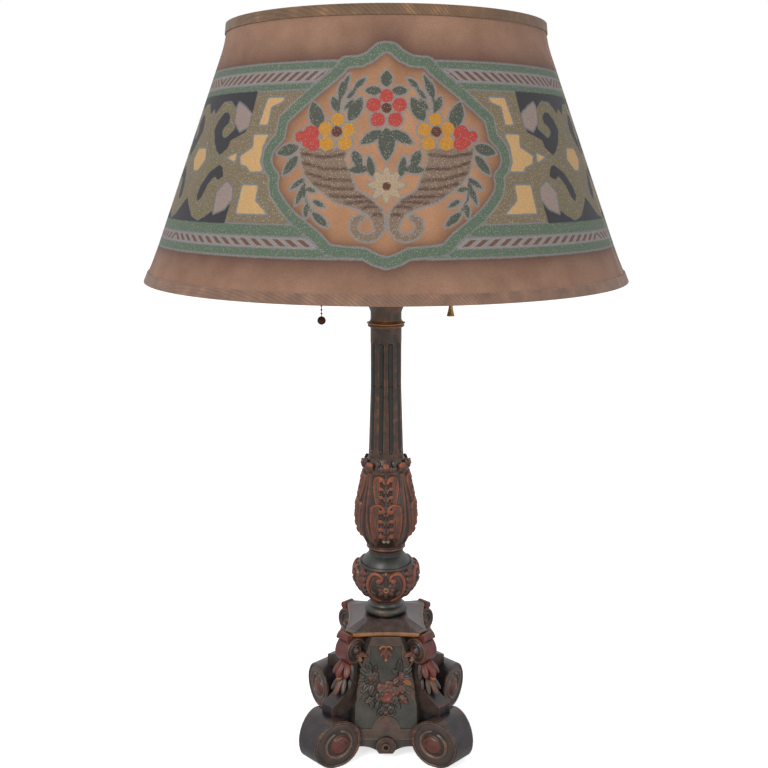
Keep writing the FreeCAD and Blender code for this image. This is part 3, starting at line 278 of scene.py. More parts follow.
def thicken(piece, wall_mm):
    """Gives a sheet its wall, inwards, and returns the modifier."""
    wall = piece.modifiers.new("wall", "SOLIDIFY")
    wall.thickness = wall_mm * MM
    wall.offset = -1
    return wall


# ---------------------------------------------------------------- shade outline, as the cover is cut

SHADE_TOP = (146.2, 710.2)
FLARE_TOP = (152.0, 684.0)
FLARE_FOOT = (213.0, 518.7)
SHADE_FOOT = (228.8, 482.0)
COVER_WALL = 1.2
SEAM_DEG = 71.0
SEAM_GAP_DEG = 0.27
PATTERN_R = 185.0
REPEAT_DEG = 120.0


def kick_arc(joint, far):
    """Centre and radius of the arc that leaves the straight flare smoothly at the joint and ends at far."""
    top, foot = np.array(FLARE_TOP), np.array(FLARE_FOOT)
    along = (foot - top) / np.linalg.norm(foot - top)
    normal = np.array((-along[1], along[0]))
    chord = np.array(far) - np.array(joint)
    centre = np.array(joint) + normal * (chord @ chord) / (2 * chord @ normal)
    return centre, np.linalg.norm(np.array(joint) - centre)


def cover_radius(z):
    """Outer radius of the cover at each height."""
    share = (FLARE_TOP[1] - z) / (FLARE_TOP[1] - FLARE_FOOT[1])
    radius = FLARE_TOP[0] + share * (FLARE_FOOT[0] - FLARE_TOP[0])
    for joint, far, beyond in ((FLARE_TOP, SHADE_TOP, z > FLARE_TOP[1]), (FLARE_FOOT, SHADE_FOOT, z < FLARE_FOOT[1])):
        centre, reach = kick_arc(joint, far)
        arc = centre[0] - np.sqrt(np.maximum(reach ** 2 - (z - centre[1]) ** 2, 0))
        radius = np.where(beyond, arc, radius)
    return radius


# ---------------------------------------------------------------- shapes of the painted pattern

SLOPE = 1.066


def on_cloth(a, z):
    """A pattern place as flat millimetres on the cloth: its arc length at that height, and its height up the slope."""
    a, z = np.asarray(a, float), np.asarray(z, float)
    return np.stack([a * cover_radius(z) / PATTERN_R, z * SLOPE], -1)


def to_line(spots, points):
    """Distance from each spot to a line through the points."""
    points = np.asarray(points, float)
    best = np.full(spots.shape[:-1], 1e9)
    for start, end in zip(points[:-1], points[1:]):
        run = end - start
        share = np.clip(((spots - start) @ run) / max(run @ run, 1e-9), 0, 1)
        best = np.minimum(best, np.linalg.norm(spots - start - share[..., None] * run, axis=-1))
    return best


def inside(spots, points):
    """Distance to the edge of a closed outline, positive inside it."""
    ring = np.vstack([points, points[:1]])
    best = to_line(spots, ring)
    odd = np.zeros(spots.shape[:-1], bool)
    for (x0, y0), (x1, y1) in zip(ring[:-1], ring[1:]):
        crosses = (y0 > spots[..., 1]) != (y1 > spots[..., 1])
        reach = x0 + (spots[..., 1] - y0) / ((y1 - y0) or 1e-9) * (x1 - x0)
        odd ^= crosses & (spots[..., 0] < reach)
    return np.where(odd, best, -best)


def leaf_shape(spots, base, tip, half):
    """A pointed leaf from base to tip, positive inside; the widest place is past its middle."""
    base, tip = np.asarray(base, float), np.asarray(tip, float)
    run = tip - base
    length = np.linalg.norm(run)
    along = (spots - base) @ run / length ** 2
    across = np.abs((spots - base) @ np.array((-run[1], run[0])) / length)
    width = half * np.sin(math.pi * np.clip(along, 0, 1) ** 0.85) ** 0.8
    beyond = np.maximum(np.maximum(-along, along - 1), 0) * length
    return np.where(beyond > 0, -np.hypot(beyond, across), width - across)


def disc_shape(spots, middle, radius):
    return radius - np.linalg.norm(spots - np.asarray(middle, float), axis=-1)


def widest(*fields):
    return np.maximum.reduce(fields)


MEDALLION = [(0, 677), (6, 676), (14.8, 669.5), (24, 666), (38, 665.5), (42.5, 660), (52.6, 652), (69, 640),
             (90.5, 622), (91, 608), (96, 603), (99.5, 597), (99.5, 589), (96, 583), (89.6, 577), (89.5, 571),
             (86.9, 564), (78.6, 555), (70.2, 547), (59.2, 539), (48.7, 531), (40, 522), (29.7, 520.5),
             (15.2, 519.5), (7.7, 515), (0, 512.5)]
LEAVES = [((0, 646), (0, 659), 4.6), ((4.5, 643), (19, 643), 3.6), ((31, 620), (21, 638), 5.0),
          ((41, 627), (47.5, 639), 3.2), ((38.5, 643), (33.5, 656), 1.9), ((40, 636), (39.6, 651), 2.2),
          ((28, 645), (18.5, 653), 2.2), ((34.5, 636), (25.5, 646), 1.7), ((36, 628), (28, 637), 1.7),
          ((55, 614), (65, 635), 6.0), ((4, 612), (21, 602), 4.0), ((0, 614), (0, 589), 6.4),
          ((72, 600), (91, 595), 4.6), ((71.5, 593), (82, 578), 3.6), ((26, 597), (19, 583), 3.8),
          ((13.5, 583), (30, 582), 3.0), ((10.5, 577), (13.8, 593), 3.0), ((63, 576), (74, 567), 2.0),
          ((62, 572), (67.5, 555), 2.4), ((59, 556), (58.5, 545), 2.0), ((54.5, 559), (44.5, 554), 2.0),
          ((54, 550), (41, 539), 3.0), ((61, 568), (52, 566), 1.8)]
STEMS = [[(41.6, 612), (40.8, 624), (39.5, 645)], [(40.5, 636), (35, 645)], [(63.8, 574), (60.4, 560), (54.6, 551)]]
REDS = [((0, 639), 5.4), ((11, 632), 5.8), ((7.2, 620.5), 5.8), ((71.6, 608), 4.8), ((62, 610.5), 6.6),
        ((59.5, 602), 5.6), ((65, 603), 4.0)]
YELLOWS = [((40.7, 621), 5.2), ((50.6, 614), 5.6), ((30.8, 613), 5.4), ((33.2, 602.5), 5.6), ((48.2, 602.5), 5.8)]
EYES = [((40.7, 611.5), 4.4), ((0, 629.5), 4.2), ((0, 570), 3.4)]
HORN = [(71, 599), (31, 598), (33, 590), (28, 580), (22.5, 567), (11, 560), (3, 552), (1.5, 543), (4, 536), (8, 539),
        (10, 545), (13, 549), (20.6, 553), (37, 558), (47, 565), (56, 571), (64, 580), (67.5, 589)]
HORN_TAIL = [(4, 538), (8, 532.5), (13, 530.8), (19, 532.5), (23, 537.5), (22.5, 544), (18.5, 546)]
HORN_FLUTES = [[(69, 595), (50, 592), (33, 594)], [(67, 588), (48, 583), (30, 583)], [(63, 580), (44, 575), (26, 574)],
               [(55, 572), (38, 568), (22, 568)], [(43, 563), (30, 562), (15, 562)], [(30, 557), (20, 558), (9, 559)],
               [(18, 553), (11, 555), (4, 554)], [(12, 547), (7, 549), (2, 548)]]
CREAM_TABS = [[(111.5, 639), (93.7, 639), (94.8, 636), (106.2, 632), (106.2, 618), (115.2, 618), (112.2, 635)],
              [(118.8, 610), (103.5, 610), (106.5, 600), (106, 588), (101, 581), (114.4, 581), (118.6, 585),
               (126.3, 587), (129.1, 593), (116.3, 600)],
              [(145, 592), (134.6, 595.5), (133.5, 588.5)],
              [(118.8, 570), (103.4, 570), (102.8, 558), (90.1, 548), (118.8, 548)],
              [(185, 600), (196, 600), (196, 582), (189, 582), (180, 591)]]
COAL_FIELDS = [[(126.5, 648), (194.5, 648), (194.5, 634), (186, 628), (180, 616), (168, 600), (157, 594), (148, 600),
                (147, 606), (130, 612), (127.5, 618), (126.5, 630)],
               [(127, 564), (134, 555), (147, 549), (155, 544), (165, 541), (176, 545), (184, 551), (194.5, 560),
                (194.5, 536), (129, 536)],
               [(144, 577), (148, 584), (157, 588), (167, 584), (174, 574), (178, 563), (172, 556), (167, 560),
                (163, 570), (156, 577), (150, 574)]]
PALE_LOBES = [[(148.5, 637), (150.4, 633), (147.3, 621), (137.5, 613), (127.6, 617), (127.8, 627), (138.5, 633)],
              [(138.2, 573), (129.1, 568), (126.8, 559), (133.3, 551), (144.5, 547), (147.2, 564)]]
GOLD_SCROLLS = [[(158, 613), (150.5, 618), (152.5, 628), (162, 634), (172, 634), (181, 627), (185, 617), (181, 606),
                 (170, 598)],
                [(156, 570), (150, 563), (154, 553), (164, 545.5), (174, 548), (182, 558), (179, 572), (170, 584),
                 (158, 590)]]
GREEN_BANDS = ((663.6, 2.6), (647.4, 2.4), (535.6, 4.4), (519.0, 3.1))
ROPE_BANDS = ((655.5, 4.8), (526.5, 3.9))
STRAP_HALF = 3.7
STRAP_RIM = 1.5
FRIEZE_FOOT, FRIEZE_TOP = 541.2, 643.8
STAR_AT, STAR_R, STAR_WAVE = (0, 571), 11.5, 3.0


def pattern_fields(degrees, z):
    """Every class of the painted pattern as a distance in millimetres, positive inside the painted shape."""
    fold = np.abs((degrees + REPEAT_DEG / 2) % REPEAT_DEG - REPEAT_DEG / 2)
    a = np.radians(fold) * PATTERN_R
    spots = on_cloth(a, z)
    place = lambda pairs: on_cloth([p[0] for p in pairs], [p[1] for p in pairs])
    mirrored = [(-x, h) for x, h in MEDALLION[::-1]]
    medal = inside(spots, place(MEDALLION + mirrored[1:-1]))
    outer = -medal - STRAP_HALF - STRAP_RIM
    leaves = [leaf_shape(spots, place([base])[0], place([tip])[0], half) for base, tip, half in LEAVES]
    stems = [0.8 - to_line(spots, place(stem)) for stem in STEMS]
    discs = lambda rows: widest(*[disc_shape(spots, place([at])[0], r) for at, r in rows])
    shapes = lambda rows: widest(*[inside(spots, place(row)) for row in rows])
    lines = lambda rows, half: widest(*[half - to_line(spots, place(row)) for row in rows])
    horn = widest(inside(spots, place(HORN)), 2.4 - to_line(spots, place(HORN_TAIL)))
    centre = spots - place([STAR_AT])[0]
    swing = np.arctan2(centre[..., 0], centre[..., 1])
    above = np.exp(-np.maximum(np.minimum(z - 666.2, outer + STRAP_RIM), 0) / 12.0) * (z > 640)
    below = np.exp(-np.maximum(np.minimum(515.5 - z, outer + STRAP_RIM), 0) / 10.0) * (z < 545)
    within = np.exp(-np.maximum(medal - STRAP_HALF, 0) / 6.5)
    off_seam = (degrees - SEAM_DEG + 90) % 180 - 90
    return {
        "turn": a, "medal": medal,
        "green": widest(STRAP_HALF - np.abs(medal), *[np.minimum(half - np.abs(z - mid) * SLOPE, outer)
                                                      for mid, half in GREEN_BANDS]),
        "rope": widest(*[np.minimum(half - np.abs(z - mid), outer) for mid, half in ROPE_BANDS]),
        "frieze": np.minimum(np.minimum(FRIEZE_TOP - z, z - FRIEZE_FOOT), outer),
        "leaf": widest(*leaves, *stems), "red": discs(REDS), "yellow": discs(YELLOWS), "eye": discs(EYES),
        "horn": horn, "flute": np.minimum(lines(HORN_FLUTES, 1.3), horn - 0.5),
        "star": STAR_R + STAR_WAVE * np.cos(8 * swing) - np.linalg.norm(centre, axis=-1),
        "cream": np.minimum(shapes(CREAM_TABS), outer), "coal": shapes(COAL_FIELDS), "pale": shapes(PALE_LOBES),
        # seam: a dark line along each seam, painted shadow of the gap between the two halves.
        "gold": lines(GOLD_SCROLLS, 3.6), "seam": 1.1 - np.abs(np.radians(off_seam)) * cover_radius(z),
        "gloom": np.where(medal > 0, within, np.maximum(above, below))}


def cover_piece(name, start_deg, end_deg, cells_round, cells_high):
    """One half of the cover, from seam to seam, carrying the pattern's distances."""
    net, grid = grid_net(cells_round, cells_high)
    degrees = start_deg + grid[:, 0] * (end_deg - start_deg)
    z = SHADE_FOOT[1] + grid[:, 1] * (SHADE_TOP[1] - SHADE_FOOT[1])
    place_net(net, turned(0, -cover_radius(z), z, np.radians(degrees)))
    face_outward(net)
    piece = as_piece(name, net, CLOTH, LINING)
    for key, values in pattern_fields(degrees, z).items():
        piece.data.attributes.new(key, "FLOAT", "POINT").data.foreach_set("value", values.astype(np.float32))
    return piece


def printed_cloth():
    """Linen painted and beaded by hand, then varnished: soft airbrushed shading, glass-bead specks whose pale colour is
    a painted glint, fine weave.
    """
    material, put, shader = new_finish("painted_linen", Roughness=0.78, Specular_IOR_Level=0.3, Sheen_Weight=0.08)
    place = put("TexCoord").outputs["Object"]
    height = put("SeparateXYZ", {0: place}).outputs["Z"]
    clouds = put("TexNoise", {"Vector": place, "Scale": 1000 / CLOUD_SIZE, "Detail": 4.0})
    wobble = put("TexNoise", {"Vector": place, "Scale": 1000 / BRUSH_WOBBLE, "Detail": 3.0})
    shake = put("MapRange", {"Value": wobble, "To": (-0.75, 0.75)})
    fleck = put("TexNoise", {"Vector": place, "Scale": 1000 / FLECK_SIZE, "Detail": 2.0})
    cloth = put("ValToRGB", {"Fac": clouds}, stops=[(0.3, "#86634F"), (0.7, "#9A7660")])
    warm = put("ValToRGB", {"Fac": clouds}, stops=[(0.3, "#9A6F50"), (0.7, "#AB7F5E")])
    turn, gloom = [put("Attribute", attribute_name=key).outputs["Fac"] for key in ("turn", "gloom")]
    shaken, masks = {}, {}
    for key, soft in (("medal", 0.5), ("green", 0.45), ("rope", 0.45), ("frieze", 0.5), ("leaf", 0.45), ("red", 0.4),
                      ("yellow", 0.4), ("eye", 0.5), ("horn", 0.5), ("flute", 0.8), ("star", 0.5), ("cream", 0.4),
                      ("coal", 0.5), ("seam", 0.5), ("pale", 0.7), ("gold", 0.6)):
        field = put("Attribute", attribute_name=key).outputs["Fac"]
        shaken[key] = put("Math", {0: field, 1: shake}, operation="ADD")
        masks[key] = put("MapRange", {"Value": shaken[key], "From": (-soft, soft)})
    colour = put("Mix", {0: masks["medal"], 6: cloth, 7: warm}, data_type="RGBA")
    airbrush = put("Math", {0: gloom, 1: 0.88}, operation="MULTIPLY")
    colour = put("Mix", {0: airbrush, 6: colour, 7: "#462C26"}, data_type="RGBA")

    rim = shaken["green"]
    for key in ("leaf", "red", "yellow", "horn", "star"):
        rim = put("Math", {0: rim, 1: shaken[key]}, operation="MAXIMUM")
    masks["halo"] = put("MapRange", {"Value": rim, "From": (-2.3, -1.1), "To": (0.0, 0.85)})

    # Glass beads: sparse pale specks put into the colour, a painted glint of the glass.
    beads = put("TexVoronoi", {"Vector": place, "Scale": 1000 / BEAD_PITCH})
    glint = put("MapRange", {"Value": beads.outputs["Distance"], "From": (0.30, 0.16)})
    chance = put("SeparateColor", {0: beads.outputs["Color"]})
    sparse = put("Math", {0: chance, 1: 0.36}, operation="GREATER_THAN")
    glint = put("Math", {0: glint, 1: sparse}, operation="MULTIPLY")

    strips = []
    for sign, side in ((1.0, "GREATER_THAN"), (-1.0, "LESS_THAN")):
        slid = put("Math", {0: height, 1: sign * 1000 * STRAND_LEAN, 2: turn}, operation="MULTIPLY_ADD")
        share = put("Math", {0: slid, 1: STRAND_PITCH}, operation="DIVIDE")
        part = put("Math", {0: share}, operation="FRACT")
        off = put("Math", {0: part, 1: 0.5}, operation="SUBTRACT")
        off = put("Math", {0: off}, operation="ABSOLUTE")
        strip = put("MapRange", {"Value": off, "From": (0.27, 0.21)})
        half = put("Math", {0: height, 1: STRANDS_TURN_AT}, operation=side)
        strips.append(put("Math", {0: strip, 1: half}, operation="MULTIPLY"))
    within_rope = put("MapRange", {"Value": shaken["rope"], "From": (0.9, 1.7)})
    masks["dash"] = put("Math", {0: sum_of(put, strips), 1: within_rope}, operation="MULTIPLY")
    for key in ("cream", "gold", "pale"):
        masks[key + "_edge"] = put("MapRange", {"Value": shaken[key], "From": (-1.9, -0.9)})
    layers = [("halo", "#868480", "#6F7070", 0.15), ("rope", "#8F8783", "#767372", 0.25),
              ("dash", "#6E4E40", "#5A4035", 0.1), ("frieze", "#7F7058", "#665A46", 0.65),
              ("cream_edge", "#777A7C", "#666C70", 0.1), ("cream", "#C49E6C", "#B28C5C", 0.05),
              ("coal", "#353235", "#2B292C", 0.0), ("gold_edge", "#6E6E6A", "#5E5F5E", 0.2),
              ("gold", "#7E7050", "#60563E", 0.8), ("pale_edge", "#6C6C70", "#5E5F64", 0.0),
              ("pale", "#9A867C", "#80706A", 0.3), ("horn", "#84705E", "#6A5649", 0.7),
              ("flute", "#5A4036", "#4A3630", 0.4), ("star", "#AA947A", "#948066", 0.45),
              ("leaf", "#505448", "#40433C", 0.6), ("red", "#AE443A", "#963732", 0.45),
              ("yellow", "#BC8630", "#A57028", 0.45), ("eye", "#5E3A2C", "#4A2C24", 0.6),
              # The seam's dark line is painted shadow of the gap between the halves.
              ("green", "#5E6C5A", "#4C5A4B", 0.5), ("seam", "#2E2420", "#241C19", 0.0)]
    for key, light, dark, beaded in layers:
        tone = put("Mix", {0: fleck, 6: dark, 7: light}, data_type="RGBA")
        # Pale bead specks on each layer: a painted glint.
        bead = put("Math", {0: glint, 1: beaded}, operation="MULTIPLY")
        tone = put("Mix", {0: bead, 6: tone, 7: "#CDC2A6"}, data_type="RGBA")
        colour = put("Mix", {0: masks[key], 6: colour, 7: tone}, data_type="RGBA")
    mottled = put("MapRange", {"Value": fleck, "From": (0.25, 0.75), "To": (0.86, 1.14)})
    colour = put("VectorMath", {0: colour, "Scale": mottled}, operation="SCALE")
    # The real thread is about 0.5 mm; 1 mm ribs show at this distance.
    weave = put("TexWave", {"Vector": place, "Scale": 1000 / THREAD_PITCH / WAVE_TURN, "Distortion": 1.0,
                            "Detail": 1.0}, bands_direction="Z")
    cross = put("Math", {0: weave.outputs["Fac"], 1: fleck}, operation="ADD")
    bump = put("Bump", {"Height": cross, "Strength": 0.25, "Distance": 0.12 * MM})
    raised = put("Bump", {"Height": glint, "Strength": 0.4, "Distance": 0.25 * MM, "Normal": bump})
    feed(shader, {"Base Color": colour, "Normal": raised})
    return material


LINING = matt_stuff("parchment_lining", "#D8C6AC", "#C9B496", 0.8, 3.0)
CLOTH = printed_cloth()
for side, start in (("front", SEAM_DEG - 180), ("back", SEAM_DEG)):
    cover = cover_piece("painted_cover_" + side, start + SEAM_GAP_DEG, start + 180 - SEAM_GAP_DEG, 352, 120)
    wall = thicken(cover, COVER_WALL)
    wall.material_offset = 1
    wall.material_offset_rim = 1
    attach(cover, "shade")
    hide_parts("shade_cover_" + side)

# ---------------------------------------------------------------- cast ornament

UMBER, SIENNA, RUSSET, OCHRE = "#382A21", "#57311F", "#5A251B", "#82502B"
MOSS, CRIMSON, BEAD_PALE = "#2C2A20", "#62241B", "#8E7C68"
RIDGE, DEEP = "#763A1F", "#2E1E15"
PANEL_LINE = [(60.0, 7.0), (57.0, 25.0), (50.0, 46.0), (42.0, 72.0), (38.4, 98.0), (38.0, 122.4)]
ROLL_AT, ROLL_R, ROLL_HALF, ROLL_SPLAY = (86.0, 24.0), 24.5, 12.0, math.radians(16.0)
VOLUTE_AT, VOLUTE_R, LEG_HALF = (50.5, 108.4), 14.0, 7.8
GARLAND_WIDTH, GARLAND_FOOT, GARLAND_HEIGHT, GARLAND_SUNK = 70.0, 30.0, 84.0, 0.7
RELIEF_WALL, SCROLL_SUNK, FLOOR_CLEAR, RING_BORE, RING_CELLS = 2.6, 0.45, 0.5, 12.0, 352
VASE_PROFILE = [(17.5, 200.0), (17.5, 203.2), (19.5, 205.0), (19.5, 206.2), (17.6, 207.8), (19.6, 211.0), (23.2, 216.5),
                (26.8, 222.5), (29.2, 231.0), (29.8, 239.0), (29.0, 249.0), (27.0, 260.0), (24.4, 272.0), (22.2, 282.0),
                (21.5, 287.0)]
KNOP_PROFILE = [(16.4, 147.0), (16.6, 150.2), (21.5, 154.0), (26.8, 159.5), (31.4, 167.5), (33.2, 175.5),
                (32.6, 183.0), (30.6, 186.6), (28.8, 187.2), (28.2, 189.2), (27.2, 189.5), (25.8, 188.2), (24.2, 187.8)]


def smooth(points, rounds):
    """A line with its corners cut to a curve; its ends stay."""
    points = np.asarray(points, float)
    for _ in range(rounds):
        start, end = points[:-1], points[1:]
        cut = np.stack([0.75 * start + 0.25 * end, 0.25 * start + 0.75 * end], 1).reshape(-1, points.shape[1])
        points = np.vstack([points[:1], cut, points[-1:]])
    return points


def radius_at(profile, z):
    return np.interp(z, [row[1] for row in profile], [row[0] for row in profile])


class Relief:
    """Raised shapes over flat spots in millimetres, each with its paint; the highest one shows."""

    def __init__(self, spots, paint):
        self.spots = spots
        self.height = np.zeros(len(spots))
        self.paint = np.tile(linear(paint), (len(spots), 1))

    def lay(self, height, paint):
        over = height > self.height
        self.height[over] = height[over]
        self.paint[over] = linear(paint)

    def dome(self, x, z, radius, rise, paint, cup=0.0):
        gap = np.hypot(self.spots[:, 0] - x, self.spots[:, 1] - z) / radius
        body = np.sqrt(np.clip(1 - gap ** 2, 0, 1))
        self.lay(rise * body * (1 - cup * np.exp(-(gap / 0.5) ** 2)), paint)

    def ridge(self, points, start, end, rise, paint, rounds=3):
        points = smooth(points, rounds)
        steps = np.linalg.norm(np.diff(points, axis=0), axis=1)
        best = np.zeros(len(self.spots))
        gone = 0.0
        for low, high, step in zip(points[:-1], points[1:], steps):
            share = np.clip((self.spots - low) @ (high - low) / step ** 2, 0, 1)
            gap = np.linalg.norm(self.spots - low - share[:, None] * (high - low), axis=1)
            half = start + (end - start) * (gone + share * step) / steps.sum()
            best = np.maximum(best, np.sqrt(np.clip(1 - (gap / half) ** 2, 0, 1)) * half)
            gone += step
        self.lay(rise * best / max(start, end), paint)

    def leaf(self, base, tip, half, rise, paint):
        base, tip = np.asarray(base, float), np.asarray(tip, float)
        run = tip - base
        along = np.clip((self.spots - base) @ run / (run @ run), 0, 1)
        across = np.linalg.norm(self.spots - base - along[:, None] * run, axis=1)
        width = np.maximum(half * np.sin(math.pi * along ** 0.8) ** 0.8, 1e-3)
        body = np.sqrt(np.clip(1 - (across / width) ** 2, 0, 1))
        crease = 1 - 0.4 * np.exp(-(across / (0.2 * half)) ** 2)
        self.lay(rise * body * crease * (0.6 + 0.4 * along), paint)

    def rose(self, x, z, radius, rise, petals, heart, count=5, turn=0.3):
        for reach, size, lift, shift in ((0.64, 0.4, 0.55, 0.0), (0.38, 0.33, 0.8, 0.5)):
            for k in range(count):
                way = turn + 2 * math.pi * (k + shift) / count
                self.dome(x + radius * reach * math.cos(way), z + radius * reach * math.sin(way), radius * size,
                          rise * lift, petals, cup=0.35)
        self.dome(x, z, radius * 0.27, rise, heart, cup=0.25)

    def coil(self, x, z, start, end, first_deg, turn_deg, half, rise, paint):
        ways = np.radians(np.linspace(first_deg, first_deg + turn_deg, 25))
        reach = np.linspace(start, end, 25)
        self.ridge(np.stack([x + reach * np.cos(ways), z + reach * np.sin(ways)], -1), *half, rise, paint, rounds=0)


def paint_net(net, colours):
    layer = net.verts.layers.float_color.new("paint")
    for vert, colour in zip(net.verts, colours):
        vert[layer] = colour


def cast_piece(name, net, node=None, wall_mm=None):
    """A painted piece that rides on the stem."""
    piece = as_piece(name, net, RELIEF_PAINT)
    if wall_mm:
        thicken(piece, wall_mm)
    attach(piece, "lamp_stem")
    if node:
        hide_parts(node)


def relief_sheet(name, net, places, work, away=None):
    """A carved sheet, cut away where nothing is raised, with its wall."""
    place_net(net, places)
    paint_net(net, work.paint)
    face_outward(net, away)
    net.verts.index_update()
    bare = [face for face in net.faces if all(work.height[v.index] <= 0 for v in face.verts)]
    bmesh.ops.delete(net, geom=bare, context="FACES")
    cast_piece(name, net, wall_mm=RELIEF_WALL)


RELIEF_PAINT = painted_casting("rubbed_paint_on_relief", "#16120F", "#3A2B22", "#6B4632", "#C0663A", ground=0.5,
                               paint=True, wear_gain=0.4)


# Garland on each panel: two roses, a bud and their leaves, a bow with its drop, and a small palmette above.

def carve_garland(work):
    for side in (-1, 1):
        work.ridge([(0, 111), (side * 4, 112), (side * 6.2, 109)], 1.2, 1.8, 2.6, OCHRE)
        work.dome(side * 5.8, 108.8, 2.2, 3.0, SIENNA)
        work.leaf((side * 0.8, 108), (side * 6.4, 100.6), 2.3, 2.8, SIENNA)
        work.leaf((side * 31, 104.5), (side * 17.5, 102), 3.0, 4.6, SIENNA)
        work.leaf((side * 30, 101), (side * 23.5, 96.5), 2.8, 4.4, OCHRE)
        work.ridge([(side * 29, 99), (side * 25, 92), (side * 21, 86), (side * 16, 80)], 2.0, 1.6, 3.0, UMBER)
    work.leaf((0, 111), (0, 95.6), 3.0, 3.6, SIENNA)
    work.dome(0, 97.4, 2.3, 3.2, OCHRE)
    for base, tip, half, paint in (
            ((-16, 84), (-19.5, 96.5), 4.2, MOSS), ((-18, 82), (-27, 89), 4.4, MOSS), ((-20, 78), (-28, 78), 3.6, MOSS),
            ((-12, 84), (-9.5, 92), 2.6, MOSS), ((-16, 74), (-24.5, 63.5), 4.0, MOSS),
            ((-13, 72), (-16.5, 62), 3.8, UMBER), ((-20, 76), (-28.5, 70), 3.0, MOSS), ((-8, 72), (-10, 80), 2.6, MOSS),
            ((-12, 60), (-22, 55), 3.0, UMBER), ((-14, 58), (-15, 48.5), 3.0, MOSS), ((-8, 56), (-10.5, 48), 2.6, MOSS),
            ((14, 84), (14.5, 98.5), 4.6, MOSS), ((17, 82), (26.5, 90), 4.2, MOSS), ((18, 79), (27.5, 80), 3.4, UMBER),
            ((13, 78), (6.5, 73.5), 3.4, SIENNA), ((17, 77), (26.5, 72.5), 3.8, OCHRE),
            ((12, 82), (6.5, 88), 2.6, MOSS), ((14, 72), (18, 63.5), 3.6, SIENNA), ((16, 72), (25, 63.5), 3.6, UMBER),
            ((14, 62), (22.5, 54.5), 3.2, SIENNA), ((10, 57), (14.5, 49), 2.8, MOSS),
            ((18, 70), (28.5, 67.5), 2.6, MOSS)):
        work.leaf(base, tip, half, 3.8, paint)
    work.rose(-16, 78.5, 9.6, 5.4, UMBER, RUSSET, turn=0.5)
    work.rose(16, 79.5, 5.8, 4.6, SIENNA, CRIMSON, count=4)
    for reach, size, lift in ((8.6, 5.2, 3.4), (5.6, 4.6, 4.6)):
        for way in range(20, 380, 60 if reach > 6 else 72):
            work.dome(1.5 + reach * math.cos(math.radians(way)), 63 + reach * math.sin(math.radians(way)), size, lift,
                      SIENNA if way < 150 else UMBER, cup=0.4)
    work.coil(1.5, 63, 6.4, 4.6, 190, 170, (1.5, 1.0), 6.2, SIENNA)
    work.dome(1.6, 62.4, 5.2, 6.8, CRIMSON, cup=0.3)
    work.coil(1.6, 63, 5.0, 2.4, 200, 260, (1.3, 0.8), 7.2, RUSSET)
    work.rose(-16.5, 57, 4.4, 4.2, UMBER, SIENNA)
    work.rose(17.2, 58.6, 4.4, 4.2, SIENNA, RUSSET)
    work.rose(-24.5, 66, 3.2, 3.6, MOSS, SIENNA, count=4)
    for side, low in ((-1, 45.6), (1, 46.8)):
        work.coil(side * 5.0, low, 3.4, 3.4, 0, 360, (1.3, 1.3), 3.2, UMBER)
        work.ridge([(side * 1, 45), (side * 4, 41), (side * 3, 37), (side * 6.5, 34)], 1.5, 1.0, 2.8, SIENNA)
    work.dome(0.4, 46.4, 2.6, 4.2, SIENNA)
    work.leaf((0.4, 42), (0.4, 31.5), 3.2, 3.6, RUSSET)
    work.leaf((-1, 51), (-6.5, 48), 2.4, 3.4, MOSS)
    work.leaf((2, 51), (9, 50), 2.4, 3.4, MOSS)


for side, turn in (("front", 0), ("right", 90), ("back", 180), ("left", 270)):
    net, grid = grid_net(168, 190)
    across, up = (grid[:, 0] - 0.5) * GARLAND_WIDTH, GARLAND_FOOT + grid[:, 1] * GARLAND_HEIGHT
    garland = Relief(np.stack([across, up], -1), UMBER)
    carve_garland(garland)
    reach = radius_at(PANEL_LINE, up) - GARLAND_SUNK + garland.height
    relief_sheet("garland_" + side, net, turned(across, -reach, up, math.radians(turn)), garland)


# Turned castings with relief: a closed ring, its outer wall carved in four like quarters.

def carved_ring(name, node, profile, cells_high, carve):
    line = smooth(profile, 2)
    run = np.concatenate([[0], np.cumsum(np.linalg.norm(np.diff(line, axis=0), axis=1))])
    steps = np.linspace(0, run[-1], cells_high + 1)
    radius, z = np.interp(steps, run, line[:, 0]), np.interp(steps, run, line[:, 1])
    lean = np.append(np.arctan2(-np.gradient(radius), np.gradient(z)), (0, 0))
    radius, z = np.append(radius, (RING_BORE, RING_BORE)), np.append(z, (z[-1], z[0]))
    rows = len(radius)
    net, grid = grid_net(RING_CELLS, rows)
    row = np.round(grid[:, 1] * rows).astype(int) % rows
    degrees = np.round(grid[:, 0] * RING_CELLS) % RING_CELLS * 360.0 / RING_CELLS
    fold = np.abs((degrees + 45) % 90 - 45)
    work = Relief(np.stack([np.radians(fold) * radius[row], z[row]], -1), DEEP)
    carve(work)
    rise = np.where((row > 0) & (row < cells_high), work.height, 0)
    far, tall = radius[row] + rise * np.cos(lean[row]), z[row] + rise * np.sin(lean[row])
    place_net(net, turned(0, -far, tall, np.radians(degrees)))
    paint_net(net, work.paint)
    bmesh.ops.remove_doubles(net, verts=net.verts[:], dist=0.002 * MM)
    bmesh.ops.recalc_face_normals(net, faces=net.faces[:])
    cast_piece(name, net, node=node)


def vase_arc(degrees, z):
    """A place on the vase as arc length and height."""
    return math.radians(degrees) * radius_at(VASE_PROFILE, z), z


